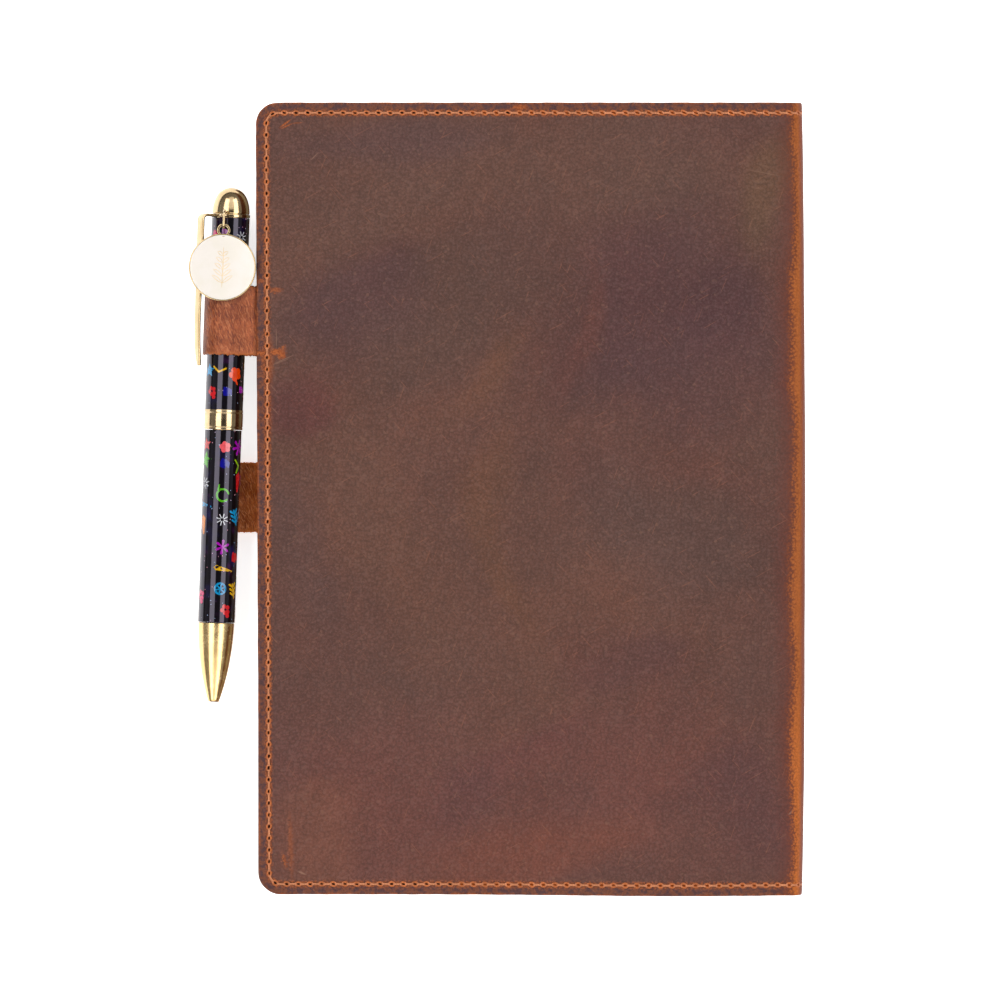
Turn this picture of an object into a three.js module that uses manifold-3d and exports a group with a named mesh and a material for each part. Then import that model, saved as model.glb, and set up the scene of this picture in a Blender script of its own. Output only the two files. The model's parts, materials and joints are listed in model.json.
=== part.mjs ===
// A leather notebook cover, closed and lying flat, with its notebook inside and a twist pen in its loop.
// Units are millimetres. X runs from the fore edge to the spine, Y from foot to head, Z up.
// The origin is the middle of the face that the cover lies on.
import * as THREE from "three";
import { mergeVertices } from "three/addons/utils/BufferGeometryUtils.js";
import Module from "manifold-3d";

const wasm = await Module();
wasm.setup();

// ---- Driving dimensions ------------------------------------------------------------------------

// Cover
const coverWidth = 152; // fore edge to the outside of the spine
const coverHeight = 220; // foot to head
const cornerRadius = 6; // the two rounded corners at the fore edge
const leather = 1.8; // outer hide
const foldRadius = 4; // outside of each fold beside the spine
const foldGap = 0.3; // split between a panel and the spine
const pocketLeather = 1.2;
const pocketSetBack = 34; // pocket's mouth to the outside of the spine
const slotGap = 1.0; // between the hide and the pocket, where a card cover goes
const sewnMargin = 4; // width of the sewn border

// Seam
const seamInset = 2.9; // cover's edge to the line of stitching
const threadWidth = 0.9;
const threadDepth = 0.6; // thread and the groove that it lies in
const grooveClearance = 0.3; // beside the thread

// Notebook
const cardThickness = 0.8;
const cardSetBack = 5; // card to the cover's head and foot
const cardCorner = 2.5;
const cardClearance = 0.3; // card to the sewn border
const signatureCount = 6;
const signatureThickness = 1.6;
const signatureGap = 0.05;
const pageSetBack = 1.5; // pages to the card's edges
const blockClearance = 0.1; // page block to each pocket
const pastedown = 0.25;
const spineClearance = 0.3; // notebook's spine strip to the hide
const pageSpineGap = 0.9; // page block to the spine strip

// Pen loops
const loopLeather = 1.0;
const loopWidth = 19.4;
const loopNeck = 2.0; // upper loop's ring to the fore edge
const loopTail = sewnMargin - 0.4; // sewn end, inside the cover's border
const tailClearance = 0.1; // above and below a tail
const notchClearance = 0.6; // beside a tail
const upperLoopY = 49.6;
const lowerLoopY = 0.3;
const lowerLoopReach = 14.8; // fore edge to the far side of the flattened loop
const lowerLoopHeight = 6.4;
const lowerLoopFoot = 0.2; // above the surface that the cover lies on
const loopClearance = 0.11; // pen's centre band to the loop around it
const penOverLoop = 0.28; // pen's centre band to the flattened loop under it

// Pen, measured along its axis from the tip of the nose cone
const penTilt = THREE.MathUtils.degToRad(2.04); // head end leans towards the cover
const penRadius = 5.3; // upper barrel; the other turned pieces step in or out from it
const noseLength = 22.05;
const noseTipRadius = 1.56;
const noseHole = 1.25;
const noseRadius = penRadius - 0.25;
const lowerBarrelRadius = penRadius - 0.12;
const lowerBarrelLength = 53.8;
const bandRadius = penRadius + 0.12;
const bandLength = 5.6;
const upperBarrelLength = 53.4;
const barrelWall = 0.8;
const collarRadius = penRadius + 0.15;
const collarThickness = 0.9;
const capRadius = penRadius - 0.3;
const capHeight = 7.5;
const seatGap = 0.15; // between pen pieces that are pressed together
const turnGap = 0.2; // between pen pieces that turn or slide on each other
const housingLength = 32;
const housingWall = 1.2;
const camLength = 34;
const refillRadius = 1.5;
const refillTipLength = 11.4;
const refillTipRadius = 1.05;
const refillSetBack = 0.6; // refill's point, inside the nose cone when retracted
const upperLoopStation = 106.3; // middle of the upper loop

// Clip
const clipAngle = THREE.MathUtils.degToRad(60); // round the pen from its top, away from the cover
const clipWidth = 3.2;
const clipEndWidth = 2.2;
const clipThickness = 0.8;
const clipReach = penRadius + 4.4; // pen's axis to the outside of the strip
const clipBend = 1.5; // outside of the bend at the top
const clipEndStation = 93.4;
const clipEndDrop = 1.0; // the strip's lower end leans in by this much
const clipFootRadius = penRadius - 0.3;

// Charm
const hoopOffset = -1.6; // hoop and charm to the pen's axis
const hoopWire = 0.4; // wire radius
const hoopBend = 1.0;
const linkWire = 0.35; // wire radius
const linkBend = 1.35;
const linkStraight = 2.2;
const discRadius = 9.4;
const discThickness = 1.2;
const discGap = 0.45; // under the disc
const eyeletRadius = 1.85;
const eyeletHole = 1.2;
const eyeletOffset = 10.3; // eyelet to the disc's centre
const eyeletHang = 0.65; // link's wire to the eyelet's centre

// ---- Places worked out from them ---------------------------------------------------------------

const foreEdge = -coverWidth / 2;
const spineFace = coverWidth / 2;
const halfHeight = coverHeight / 2;
const panelEnd = spineFace - foldRadius - foldGap;
const pocketMouth = spineFace - pocketSetBack;
const pocketBase = leather + slotGap;
const pocketTop = pocketBase + pocketLeather;
const blockThickness = signatureCount * (signatureThickness + signatureGap) - signatureGap;
const coverThickness = 2 * (pocketTop + blockClearance) + blockThickness;
const cardHeight = coverHeight - 2 * cardSetBack;
const pageHeight = cardHeight - 2 * pageSetBack;
const cardBase = leather + (slotGap - cardThickness) / 2;
const cardTop = cardBase + cardThickness;
const cardForeEdge = foreEdge + sewnMargin + cardClearance;
const cardSpineEdge = panelEnd - foldGap;
const stripFace = spineFace - leather - spineClearance;
const pageForeEdge = cardForeEdge + pageSetBack;
const pageSpineEdge = stripFace - cardThickness - pageSpineGap;

const bandStation = noseLength + lowerBarrelLength;
const barrelStation = bandStation + bandLength;
const collarStation = barrelStation + upperBarrelLength;
const capStation = collarStation + collarThickness;
const upperBore = penRadius - barrelWall;
const lowerBore = lowerBarrelRadius - barrelWall;
const housingRadius = upperBore - seatGap;
const camRadius = housingRadius - housingWall - turnGap;
const penAxisZ = lowerLoopFoot + lowerLoopHeight + penOverLoop + bandRadius;
const loopBore = bandRadius + loopClearance;
const loopOuter = loopBore + loopLeather;
const penStandOff = loopOuter + loopNeck; // pen's axis to the fore edge, at the middle of its loop

// The charm lies above both the pen's loop and the cover, so it can swing over either.
const discBase = Math.max(penAxisZ + loopOuter, coverThickness) + discGap - penAxisZ;
const charmLevel = discBase + discThickness / 2;
const hoopStation = collarStation + collarThickness / 2;
const swingStation = hoopStation - linkStraight - linkBend;
const eyeletStation = swingStation - eyeletHang;
const discStation = eyeletStation - eyeletOffset;

// ---- Materials ---------------------------------------------------------------------------------

const finish = (color, roughness, metalness = 0) =>
  new THREE.MeshStandardMaterial({ color, roughness, metalness });
const hide = finish(0x6b4a43, 0.6);
const tan = finish(0x9d5c3c, 0.7);
const thread = finish(0xd07a48, 0.8);
const card = finish(0x2b2a2c, 0.7);
const paper = finish(0xf3ecd9, 0.9);
const gold = finish(0xd9b264, 0.2, 1);
const paleGold = finish(0xf2e3c4, 0.3, 1);
const lacquer = finish(0x14121a, 0.1);
const brass = finish(0xb58a3e, 0.4, 1);
const steel = finish(0xb9bcc2, 0.3, 1);

// ---- Geometry helpers --------------------------------------------------------------------------

const CORNER_SEGMENTS = 8;
const BARREL_SEGMENTS = 36;
const INNER_SEGMENTS = 24;

function solidOf(geometry) {
  const bare = geometry.index ? geometry.toNonIndexed() : geometry.clone();
  bare.deleteAttribute("normal");
  bare.deleteAttribute("uv");
  const merged = mergeVertices(bare, 1e-4);
  return new wasm.Manifold(
    new wasm.Mesh({
      numProp: 3,
      vertProperties: merged.attributes.position.array,
      triVerts: new Uint32Array(merged.index.array),
    }),
  );
}

function geometryOf(solid) {
  const { vertProperties, triVerts, numProp, numVert } = solid.getMesh();
  const position = new Float32Array(numVert * 3);
  for (let i = 0; i < numVert; i++) {
    position.set(vertProperties.subarray(i * numProp, i * numProp + 3), i * 3);
  }
  const geometry = new THREE.BufferGeometry();
  geometry.setAttribute("position", new THREE.BufferAttribute(position, 3));
  geometry.setIndex(new THREE.BufferAttribute(triVerts, 1));
  return geometry;
}

const join = (first, ...others) =>
  geometryOf(others.reduce((sum, next) => sum.add(solidOf(next)), solidOf(first)));
const cut = (first, ...others) =>
  geometryOf(others.reduce((rest, next) => rest.subtract(solidOf(next)), solidOf(first)));
const overlapOf = (first, second) => geometryOf(solidOf(first).intersect(solidOf(second)));

function extrude(shape, depth, curveSegments = CORNER_SEGMENTS) {
  return new THREE.ExtrudeGeometry(shape, { depth, bevelEnabled: false, curveSegments });
}

// A flat plate whose outline is in X and Y.
function plate(shape, bottom, top, curveSegments) {
  return extrude(shape, top - bottom, curveSegments).translate(0, 0, bottom);
}

// A bar whose section is in X and Z.
function barAlongY(section, from, to, curveSegments) {
  return extrude(section, to - from, curveSegments).rotateX(Math.PI / 2).translate(0, to, 0);
}

function box(xs, ys, zs) {
  const size = [xs, ys, zs].map(([low, high]) => high - low);
  const middle = [xs, ys, zs].map(([low, high]) => (low + high) / 2);
  return new THREE.BoxGeometry(...size).translate(...middle);
}

// A solid turned round the Y axis. The outline runs up the outside, as [radius, station] pairs.
function turned(outline, segments = BARREL_SEGMENTS) {
  return new THREE.LatheGeometry(outline.map(([r, y]) => new THREE.Vector2(r, y)), segments);
}

function tube(outer, inner, from, to, segments) {
  const outline = [[outer, from], [outer, to], [inner, to], [inner, from], [outer, from]];
  return turned(outline, segments);
}

// A wire bent into a U in the XY plane: a half turn open towards -Y, with two straight legs.
function bentWire(bend, leg, wire) {
  const points = [new THREE.Vector3(bend, -leg, 0)];
  for (let step = 0; step <= 12; step++) {
    const angle = (Math.PI * step) / 12;
    points.push(new THREE.Vector3(bend * Math.cos(angle), bend * Math.sin(angle), 0));
  }
  points.push(new THREE.Vector3(-bend, -leg, 0));
  const round = new THREE.Shape().absarc(0, 0, wire, 0, 2 * Math.PI, false);
  const path = new THREE.CatmullRomCurve3(points, false, "centripetal");
  return new THREE.ExtrudeGeometry(round, { steps: 18, curveSegments: 5, extrudePath: path });
}

function piece(name, geometry, material) {
  const mesh = new THREE.Mesh(geometry, material);
  mesh.name = name;
  return mesh;
}

// ---- Outlines of the cover ---------------------------------------------------------------------

// A panel with two rounded corners at the fore edge and a straight edge beside the spine.
function panelOutline(left, right, half, radius) {
  const outline = new THREE.Shape();
  outline.moveTo(right, -half);
  outline.lineTo(right, half);
  outline.lineTo(left + radius, half);
  outline.absarc(left + radius, half - radius, radius, Math.PI / 2, Math.PI, false);
  outline.absarc(left + radius, radius - half, radius, Math.PI, 1.5 * Math.PI, false);
  outline.closePath();
  return outline;
}

// A band that follows the head, fore edge and foot, between two insets from the cover's edge.
function borderOutline(outerInset, innerInset, right) {
  const outerHalf = halfHeight - outerInset;
  const innerHalf = halfHeight - innerInset;
  const outerRadius = cornerRadius - outerInset;
  const innerRadius = cornerRadius - innerInset;
  const centre = foreEdge + cornerRadius;
  const centreHalf = halfHeight - cornerRadius;
  const band = new THREE.Shape();
  band.moveTo(right, -outerHalf);
  band.lineTo(right, -innerHalf);
  band.lineTo(centre, -innerHalf);
  band.absarc(centre, -centreHalf, innerRadius, 1.5 * Math.PI, Math.PI, true);
  band.absarc(centre, centreHalf, innerRadius, Math.PI, Math.PI / 2, true);
  band.lineTo(right, innerHalf);
  band.lineTo(right, outerHalf);
  band.lineTo(centre, outerHalf);
  band.absarc(centre, centreHalf, outerRadius, Math.PI / 2, Math.PI, false);
  band.absarc(centre, -centreHalf, outerRadius, Math.PI, 1.5 * Math.PI, false);
  band.closePath();
  return band;
}

const seamOutline = (width, right) =>
  borderOutline(seamInset - width / 2, seamInset + width / 2, right);
const grooveWidth = threadWidth + 2 * grooveClearance;

// The spine's section: a C that turns both folds, between two depths under its outer face.
function spineSection(outerDepth, innerDepth) {
  const left = spineFace - foldRadius;
  const low = foldRadius;
  const high = coverThickness - foldRadius;
  const outer = foldRadius - outerDepth;
  const inner = foldRadius - innerDepth;
  const section = new THREE.Shape();
  section.moveTo(left, low - outer);
  section.absarc(left, low, outer, -Math.PI / 2, 0, false);
  section.absarc(left, high, outer, 0, Math.PI / 2, false);
  section.lineTo(left, high + inner);
  section.absarc(left, high, inner, Math.PI / 2, 0, true);
  section.absarc(left, low, inner, 0, -Math.PI / 2, true);
  section.closePath();
  return section;
}

// ---- Cover -------------------------------------------------------------------------------------

// The front half lies underneath and the back half is the same, turned over. flip mirrors a height.
const halves = {
  front: { flip: (z) => z, loopY: lowerLoopY },
  back: { flip: (z) => coverThickness - z, loopY: upperLoopY },
};

function halfPlate(half, shape, bottom, top) {
  const heights = [half.flip(bottom), half.flip(top)].sort((a, b) => a - b);
  return plate(shape, ...heights);
}

function halfBox(half, xs, ys, [bottom, top]) {
  return box(xs, ys, [half.flip(bottom), half.flip(top)].sort((a, b) => a - b));
}

// The two straight runs of inner thread between the pocket's mouth and the spine.
function innerRuns(half, width, from, bottom, top) {
  return [-1, 1].map((side) => {
    const y = side * (halfHeight - seamInset);
    return halfBox(half, [from, panelEnd], [y - width / 2, y + width / 2], [bottom, top]);
  });
}

function coverLeather(half) {
  const panel = halfPlate(half, panelOutline(foreEdge, panelEnd, halfHeight, cornerRadius), 0, leather);
  const past = panelEnd + 1;
  const outerGroove = halfPlate(half, seamOutline(grooveWidth, past), -1, threadDepth);
  const innerGrooves = innerRuns(half, grooveWidth, pocketMouth, leather - threadDepth, leather + 1);
  return cut(panel, outerGroove, ...innerGrooves);
}

function pocket(half) {
  const outline = panelOutline(foreEdge, pocketMouth, halfHeight, cornerRadius);
  const sheet = halfPlate(half, outline, pocketBase, pocketTop);
  const overlap = pocketBase + pocketLeather / 2;
  const border = halfPlate(half, borderOutline(0, sewnMargin, pocketMouth), leather, overlap);
  const halfNotch = loopWidth / 2 + notchClearance;
  const notch = halfBox(
    half,
    [foreEdge - 1, foreEdge + sewnMargin + 1],
    [half.loopY - halfNotch, half.loopY + halfNotch],
    [leather - 1, pocketBase],
  );
  const past = pocketMouth + 1;
  const groove = halfPlate(half, seamOutline(grooveWidth, past), pocketTop - threadDepth, pocketTop + 1);
  return cut(join(sheet, border), notch, groove);
}

function outerThread(half) {
  return halfPlate(half, seamOutline(threadWidth, panelEnd), 0, threadDepth);
}

// The inner thread follows the pocket, steps down at its mouth and runs on along the hide.
function innerThread(half) {
  const step = pocketMouth + threadDepth;
  const border = halfPlate(half, seamOutline(threadWidth, step), pocketTop - threadDepth, pocketTop);
  const runs = innerRuns(half, threadWidth, pocketMouth, leather - threadDepth, leather);
  const drops = [-1, 1].map((side) => {
    const y = side * (halfHeight - seamInset);
    const ys = [y - threadWidth / 2, y + threadWidth / 2];
    return halfBox(half, [pocketMouth, step], ys, [leather - threadDepth, pocketTop]);
  });
  return join(border, ...runs, ...drops);
}

function spineLeather() {
  const spine = barAlongY(spineSection(0, leather), -halfHeight, halfHeight);
  const grooves = [-1, 1].map((side) => {
    const y = side * (halfHeight - seamInset);
    return barAlongY(spineSection(-1, threadDepth), y - grooveWidth / 2, y + grooveWidth / 2);
  });
  return cut(spine, ...grooves);
}

function spineThread(side) {
  const y = side * (halfHeight - seamInset);
  return barAlongY(spineSection(0, threadDepth), y - threadWidth / 2, y + threadWidth / 2);
}

// ---- Pen loops ---------------------------------------------------------------------------------

// Where a line from a point outside touches a circle round the origin. side is 1 above, -1 below.
function tangentAngle(radius, x, z, side) {
  return Math.atan2(z, x) + side * Math.acos(radius / Math.hypot(x, z));
}

// The upper loop's section, round the pen's axis: a ring drawn out to a flat tail in the cover's edge.
// The loop stands square to the pen, so its neck stops short of the nearest part of the slanting edge.
function upperLoopSection(tailLow, tailHigh) {
  const edge = penStandOff - (loopWidth / 2) * Math.tan(penTilt) - tailClearance;
  const tailEnd = penStandOff + loopTail;
  const top = tangentAngle(loopOuter, edge, tailHigh, 1);
  const bottom = tangentAngle(loopOuter, edge, tailLow, -1);
  const section = new THREE.Shape();
  section.moveTo(tailEnd, tailHigh);
  section.lineTo(edge, tailHigh);
  section.absarc(0, 0, loopOuter, top, bottom + 2 * Math.PI, false);
  section.lineTo(edge, tailLow);
  section.lineTo(tailEnd, tailLow);
  section.closePath();
  const crotch = edge - 1.6 * loopLeather;
  const middle = (tailLow + tailHigh) / 2;
  const innerTop = tangentAngle(loopBore, crotch, middle, 1);
  const innerBottom = tangentAngle(loopBore, crotch, middle, -1);
  const inside = new THREE.Path();
  inside.absarc(0, 0, loopBore, innerTop, innerBottom + 2 * Math.PI, false);
  inside.lineTo(crotch, middle);
  inside.closePath();
  section.holes.push(inside);
  return section;
}

function upperLoop() {
  const tailHigh = coverThickness - leather - tailClearance - penAxisZ;
  const tailLow = coverThickness - pocketBase + tailClearance - penAxisZ;
  const section = upperLoopSection(tailLow, tailHigh);
  const half = loopWidth / 2;
  return barAlongY(section, upperLoopStation - half, upperLoopStation + half, 56);
}

// The lower loop's outline at some depth inside the leather: a flattened ring, drawn in to the tail.
function flattenedRing(path, depth, neckLow, neckHigh) {
  const round = lowerLoopHeight / 2 - depth;
  const left = foreEdge - lowerLoopReach + lowerLoopHeight / 2;
  const middle = lowerLoopFoot + lowerLoopHeight / 2;
  const shoulder = foreEdge - 4.6;
  const neck = foreEdge - 1.8 * depth;
  path.moveTo(neck, neckHigh);
  path.quadraticCurveTo(neck - 1.2, middle + round, shoulder, middle + round);
  path.absarc(left, middle, round, Math.PI / 2, 1.5 * Math.PI, false);
  path.lineTo(shoulder, middle - round);
  path.quadraticCurveTo(neck - 1.6, middle - round, neck, neckLow);
}

function lowerLoop() {
  const tailLow = leather + tailClearance;
  const tailHigh = pocketBase - tailClearance;
  const section = new THREE.Shape();
  flattenedRing(section, 0, tailLow, tailHigh);
  section.lineTo(foreEdge + loopTail, tailLow);
  section.lineTo(foreEdge + loopTail, tailHigh);
  section.closePath();
  const inside = new THREE.Path();
  const middle = (tailLow + tailHigh) / 2;
  flattenedRing(inside, loopLeather, middle, middle);
  inside.closePath();
  section.holes.push(inside);
  return barAlongY(section, lowerLoopY - loopWidth / 2, lowerLoopY + loopWidth / 2, 12);
}

// ---- Notebook ----------------------------------------------------------------------------------

function cardCover(half) {
  const outline = panelOutline(cardForeEdge, cardSpineEdge, cardHeight / 2, cardCorner);
  return halfPlate(half, outline, cardBase, cardTop);
}

function pastedownSheet(half) {
  const xs = [pocketMouth + 1, cardSpineEdge - 0.5];
  return halfBox(half, xs, [-pageHeight / 2, pageHeight / 2], [cardTop, cardTop + pastedown]);
}

// The strip ends where the fold's inner curve leaves it room.
function notebookSpine() {
  const inner = foldRadius - leather;
  const curve = foldRadius - Math.sqrt(inner ** 2 - (inner - spineClearance) ** 2);
  const end = curve + spineClearance;
  const zs = [end, coverThickness - end];
  return box([stripFace - cardThickness, stripFace], [-cardHeight / 2, cardHeight / 2], zs);
}

function signature(index) {
  const outline = panelOutline(pageForeEdge, pageSpineEdge, pageHeight / 2, cardCorner);
  const bottom = pocketTop + blockClearance + index * (signatureThickness + signatureGap);
  return plate(outline, bottom, bottom + signatureThickness);
}

// ---- Pen ---------------------------------------------------------------------------------------

function noseCone() {
  const spigot = lowerBore - seatGap;
  const bore = refillRadius + 2 * turnGap;
  const swell = new THREE.CubicBezierCurve(
    new THREE.Vector2(noseTipRadius, 0),
    new THREE.Vector2(noseTipRadius + 2.0, noseLength * 0.28),
    new THREE.Vector2(noseRadius - 0.25, noseLength * 0.6),
    new THREE.Vector2(noseRadius, noseLength),
  );
  const outside = swell.getPoints(10).map((p) => [p.x, p.y]);
  const start = [noseHole, 0];
  const spigotEnd = noseLength + 4;
  const inside = [[spigot, noseLength], [spigot, spigotEnd], [bore, spigotEnd], [bore, 8], [noseHole, 4]];
  return turned([start, ...outside, ...inside, start]);
}

function lowerBarrel() {
  return tube(lowerBarrelRadius, lowerBore, noseLength + seatGap, bandStation - turnGap);
}

function centreBand() {
  return tube(bandRadius, upperBore, bandStation, barrelStation - seatGap);
}

function upperBarrel() {
  return tube(penRadius, upperBore, barrelStation, collarStation - seatGap);
}

function endCap() {
  const stem = upperBore - seatGap;
  const dome = new THREE.CubicBezierCurve(
    new THREE.Vector2(capRadius, capStation + seatGap),
    new THREE.Vector2(capRadius - 0.1, capStation + capHeight * 0.62),
    new THREE.Vector2(capRadius * 0.62, capStation + capHeight),
    new THREE.Vector2(0, capStation + capHeight),
  );
  const outside = dome.getPoints(8).map((p) => [p.x, p.y]);
  const foot = collarStation - 5;
  return turned([[0, foot], [stem, foot], [stem, capStation + seatGap], ...outside]);
}

// The collar is clamped under the end cap. It carries the charm's hoop and is notched for the clip.
function clipCollar() {
  const ring = tube(collarRadius, upperBore, collarStation, collarStation + collarThickness);
  const leg = charmLevel - hoopBend - collarRadius * 0.86;
  const hoop = bentWire(hoopBend, leg, hoopWire).rotateX(Math.PI / 2);
  hoop.translate(hoopOffset, hoopStation, charmLevel - hoopBend);
  const halfNotch = clipWidth / 2 + 0.3;
  const notch = box([-halfNotch, halfNotch], [collarStation - 1, capStation + 1], [4.8, 2 * collarRadius]);
  return cut(join(ring, hoop), notch.rotateY(-clipAngle));
}

function mechanismHousing() {
  const start = bandStation + 2;
  const end = start + housingLength;
  return tube(housingRadius, housingRadius - housingWall, start, end, INNER_SEGMENTS);
}

// The cam turns with the lower barrel, which it is pressed into, inside the housing.
function twistCam() {
  const plug = lowerBore - seatGap;
  const bore = refillRadius + turnGap;
  const start = bandStation - 6;
  const shoulder = bandStation - turnGap;
  const end = start + camLength;
  const outline = [[plug, start], [plug, shoulder], [camRadius, shoulder], [camRadius, end]];
  return turned([...outline, [bore, end], [bore, start], [plug, start]], INNER_SEGMENTS);
}

function refillTube() {
  const start = refillSetBack + refillTipLength + 0.1;
  const end = bandStation - 6 + camLength - 4;
  return turned([[0, start], [refillRadius, start], [refillRadius, end], [0, end]], INNER_SEGMENTS);
}

function refillTip() {
  const start = refillSetBack;
  const end = start + refillTipLength;
  const outline = [[0, start], [0.35, start], [refillTipRadius, start + 2.4], [refillTipRadius, end - 4]];
  return turned([...outline, [refillRadius - 0.1, end], [0, end]], INNER_SEGMENTS);
}

// The clip's side view, in station and height above the pen's axis.
function clipProfile() {
  const outside = clipReach;
  const inside = clipReach - clipThickness;
  const armOut = capStation - 0.1;
  const armIn = armOut - clipThickness + 0.1;
  const bendStation = armOut - clipBend;
  const bendHeight = outside - clipBend;
  const belly = clipEndStation + 18;
  const profile = new THREE.Shape();
  profile.moveTo(armIn, clipFootRadius);
  profile.lineTo(armOut, clipFootRadius);
  profile.lineTo(armOut, bendHeight);
  profile.absarc(bendStation, bendHeight, clipBend, 0, Math.PI / 2, false);
  profile.lineTo(belly, outside);
  profile.quadraticCurveTo(clipEndStation + 6, outside, clipEndStation, outside - clipEndDrop);
  profile.lineTo(clipEndStation, inside - clipEndDrop);
  profile.quadraticCurveTo(clipEndStation + 6, inside, belly, inside);
  profile.lineTo(bendStation, inside);
  profile.absarc(bendStation, bendHeight, armIn - bendStation, Math.PI / 2, 0, true);
  profile.closePath();
  return profile;
}

function clip() {
  const turn = new THREE.Matrix4().makeBasis(
    new THREE.Vector3(0, 1, 0),
    new THREE.Vector3(0, 0, 1),
    new THREE.Vector3(1, 0, 0),
  );
  const strip = extrude(clipProfile(), clipWidth, 8).translate(0, 0, -clipWidth / 2).applyMatrix4(turn);
  const plan = new THREE.Shape();
  const endRound = clipEndWidth / 2;
  plan.moveTo(clipWidth / 2, capStation + 1);
  plan.lineTo(-clipWidth / 2, capStation + 1);
  plan.lineTo(-clipWidth / 2, capStation - 12);
  plan.lineTo(-endRound, clipEndStation + endRound);
  plan.absarc(0, clipEndStation + endRound, endRound, Math.PI, 2 * Math.PI, false);
  plan.lineTo(clipWidth / 2, capStation - 12);
  plan.closePath();
  return overlapOf(strip, plate(plan, 0, 2 * clipReach)).rotateY(-clipAngle);
}

// ---- Charm -------------------------------------------------------------------------------------

function charmLink() {
  const leg = linkStraight / 2 + 0.05;
  const far = bentWire(linkBend, leg, linkWire).translate(0, linkStraight / 2, 0);
  const near = far.clone().rotateZ(Math.PI);
  const link = join(far, near).rotateY(Math.PI / 2);
  return link.translate(hoopOffset, hoopStation - linkStraight / 2, charmLevel);
}

function charmDisc() {
  const round = (radius, y) => new THREE.Shape().absarc(hoopOffset, y, radius, 0, 2 * Math.PI, false);
  const top = discBase + discThickness;
  const disc = plate(round(discRadius, discStation), discBase, top, 36);
  const eyelet = plate(round(eyeletRadius, eyeletStation), discBase, top, 14);
  const hole = plate(round(eyeletHole, eyeletStation), discBase - 1, top + 1, 12);
  return cut(join(disc, eyelet), hole);
}

// ---- Assembly ----------------------------------------------------------------------------------

function coverGroup() {
  const group = new THREE.Group();
  for (const [side, half] of Object.entries(halves)) {
    group.add(
      piece(`${side}_cover_leather`, coverLeather(half), hide),
      piece(`${side}_inner_pocket`, pocket(half), tan),
      piece(`${side}_seam_thread`, outerThread(half), thread),
      piece(`${side}_inner_thread`, innerThread(half), thread),
    );
  }
  group.add(
    piece("spine_leather", spineLeather(), hide),
    piece("spine_thread_head", spineThread(1), thread),
    piece("spine_thread_foot", spineThread(-1), thread),
    piece("lower_pen_loop", lowerLoop(), tan),
  );
  return group;
}

function notebookGroup() {
  const group = new THREE.Group();
  for (const [side, half] of Object.entries(halves)) {
    group.add(
      piece(`notebook_${side}_card`, cardCover(half), card),
      piece(`${side}_pastedown`, pastedownSheet(half), paper),
    );
  }
  group.add(piece("notebook_spine_strip", notebookSpine(), card));
  for (let index = 0; index < signatureCount; index++) {
    group.add(piece(`page_signature_${index + 1}`, signature(index), paper));
  }
  return group;
}

function penGroup() {
  const group = new THREE.Group();
  const along = new THREE.Vector3(Math.sin(penTilt), Math.cos(penTilt), 0);
  const across = penStandOff / Math.cos(penTilt);
  group.position.set(foreEdge - across, upperLoopY, penAxisZ).addScaledVector(along, -upperLoopStation);
  group.rotation.z = -penTilt;
  group.add(
    piece("upper_pen_loop", upperLoop(), tan),
    piece("pen_nose_cone", noseCone(), gold),
    piece("pen_lower_barrel", lowerBarrel(), lacquer),
    piece("pen_centre_band", centreBand(), gold),
    piece("pen_upper_barrel", upperBarrel(), lacquer),
    piece("pen_clip_collar", clipCollar(), gold),
    piece("pen_end_cap", endCap(), gold),
    piece("pen_clip", clip(), gold),
    piece("twist_mechanism_housing", mechanismHousing(), brass),
    piece("twist_cam", twistCam(), brass),
    piece("refill_tube", refillTube(), steel),
    piece("refill_tip", refillTip(), brass),
    piece("charm_link", charmLink(), gold),
    piece("charm_disc", charmDisc(), paleGold),
  );
  return group;
}

const notebookCover = new THREE.Group();
notebookCover.add(coverGroup(), notebookGroup(), penGroup());

export default notebookCover;
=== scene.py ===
"""Looks for a leather notebook cover, closed round its notebook, with a twist pen in its loop.

All sizes are in millimetres until a mesh is made, and in the frame of the CAD part: X from the fore
edge to the spine, Y from foot to head, Z up.
"""

import json
import math

import bpy
import numpy as np
from mathutils import Matrix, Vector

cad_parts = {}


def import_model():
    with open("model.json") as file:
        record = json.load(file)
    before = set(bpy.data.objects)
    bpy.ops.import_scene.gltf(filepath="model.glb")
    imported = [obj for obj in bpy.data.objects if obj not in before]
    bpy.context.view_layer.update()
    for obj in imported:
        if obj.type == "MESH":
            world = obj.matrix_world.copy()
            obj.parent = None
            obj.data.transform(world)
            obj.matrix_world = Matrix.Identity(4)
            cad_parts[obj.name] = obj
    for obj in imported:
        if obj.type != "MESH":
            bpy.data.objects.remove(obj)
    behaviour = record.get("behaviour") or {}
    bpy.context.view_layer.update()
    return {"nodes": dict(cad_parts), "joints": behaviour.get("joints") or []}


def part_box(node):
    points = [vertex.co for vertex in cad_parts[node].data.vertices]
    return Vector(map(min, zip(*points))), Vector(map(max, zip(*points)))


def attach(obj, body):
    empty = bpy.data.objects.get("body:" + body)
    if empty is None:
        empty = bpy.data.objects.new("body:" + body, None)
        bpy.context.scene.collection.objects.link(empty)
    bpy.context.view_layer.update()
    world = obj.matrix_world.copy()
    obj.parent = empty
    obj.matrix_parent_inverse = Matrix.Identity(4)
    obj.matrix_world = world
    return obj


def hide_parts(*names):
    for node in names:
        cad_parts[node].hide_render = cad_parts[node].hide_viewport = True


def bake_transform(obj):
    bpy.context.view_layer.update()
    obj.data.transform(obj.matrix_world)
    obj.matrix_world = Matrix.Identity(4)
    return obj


MM = 0.001
rng = np.random.default_rng(11)
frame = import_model()
joints = {joint["name"]: joint for joint in frame["joints"]}


def extent(node, axis):
    low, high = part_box(node)
    return low[axis] / MM, high[axis] / MM


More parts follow.
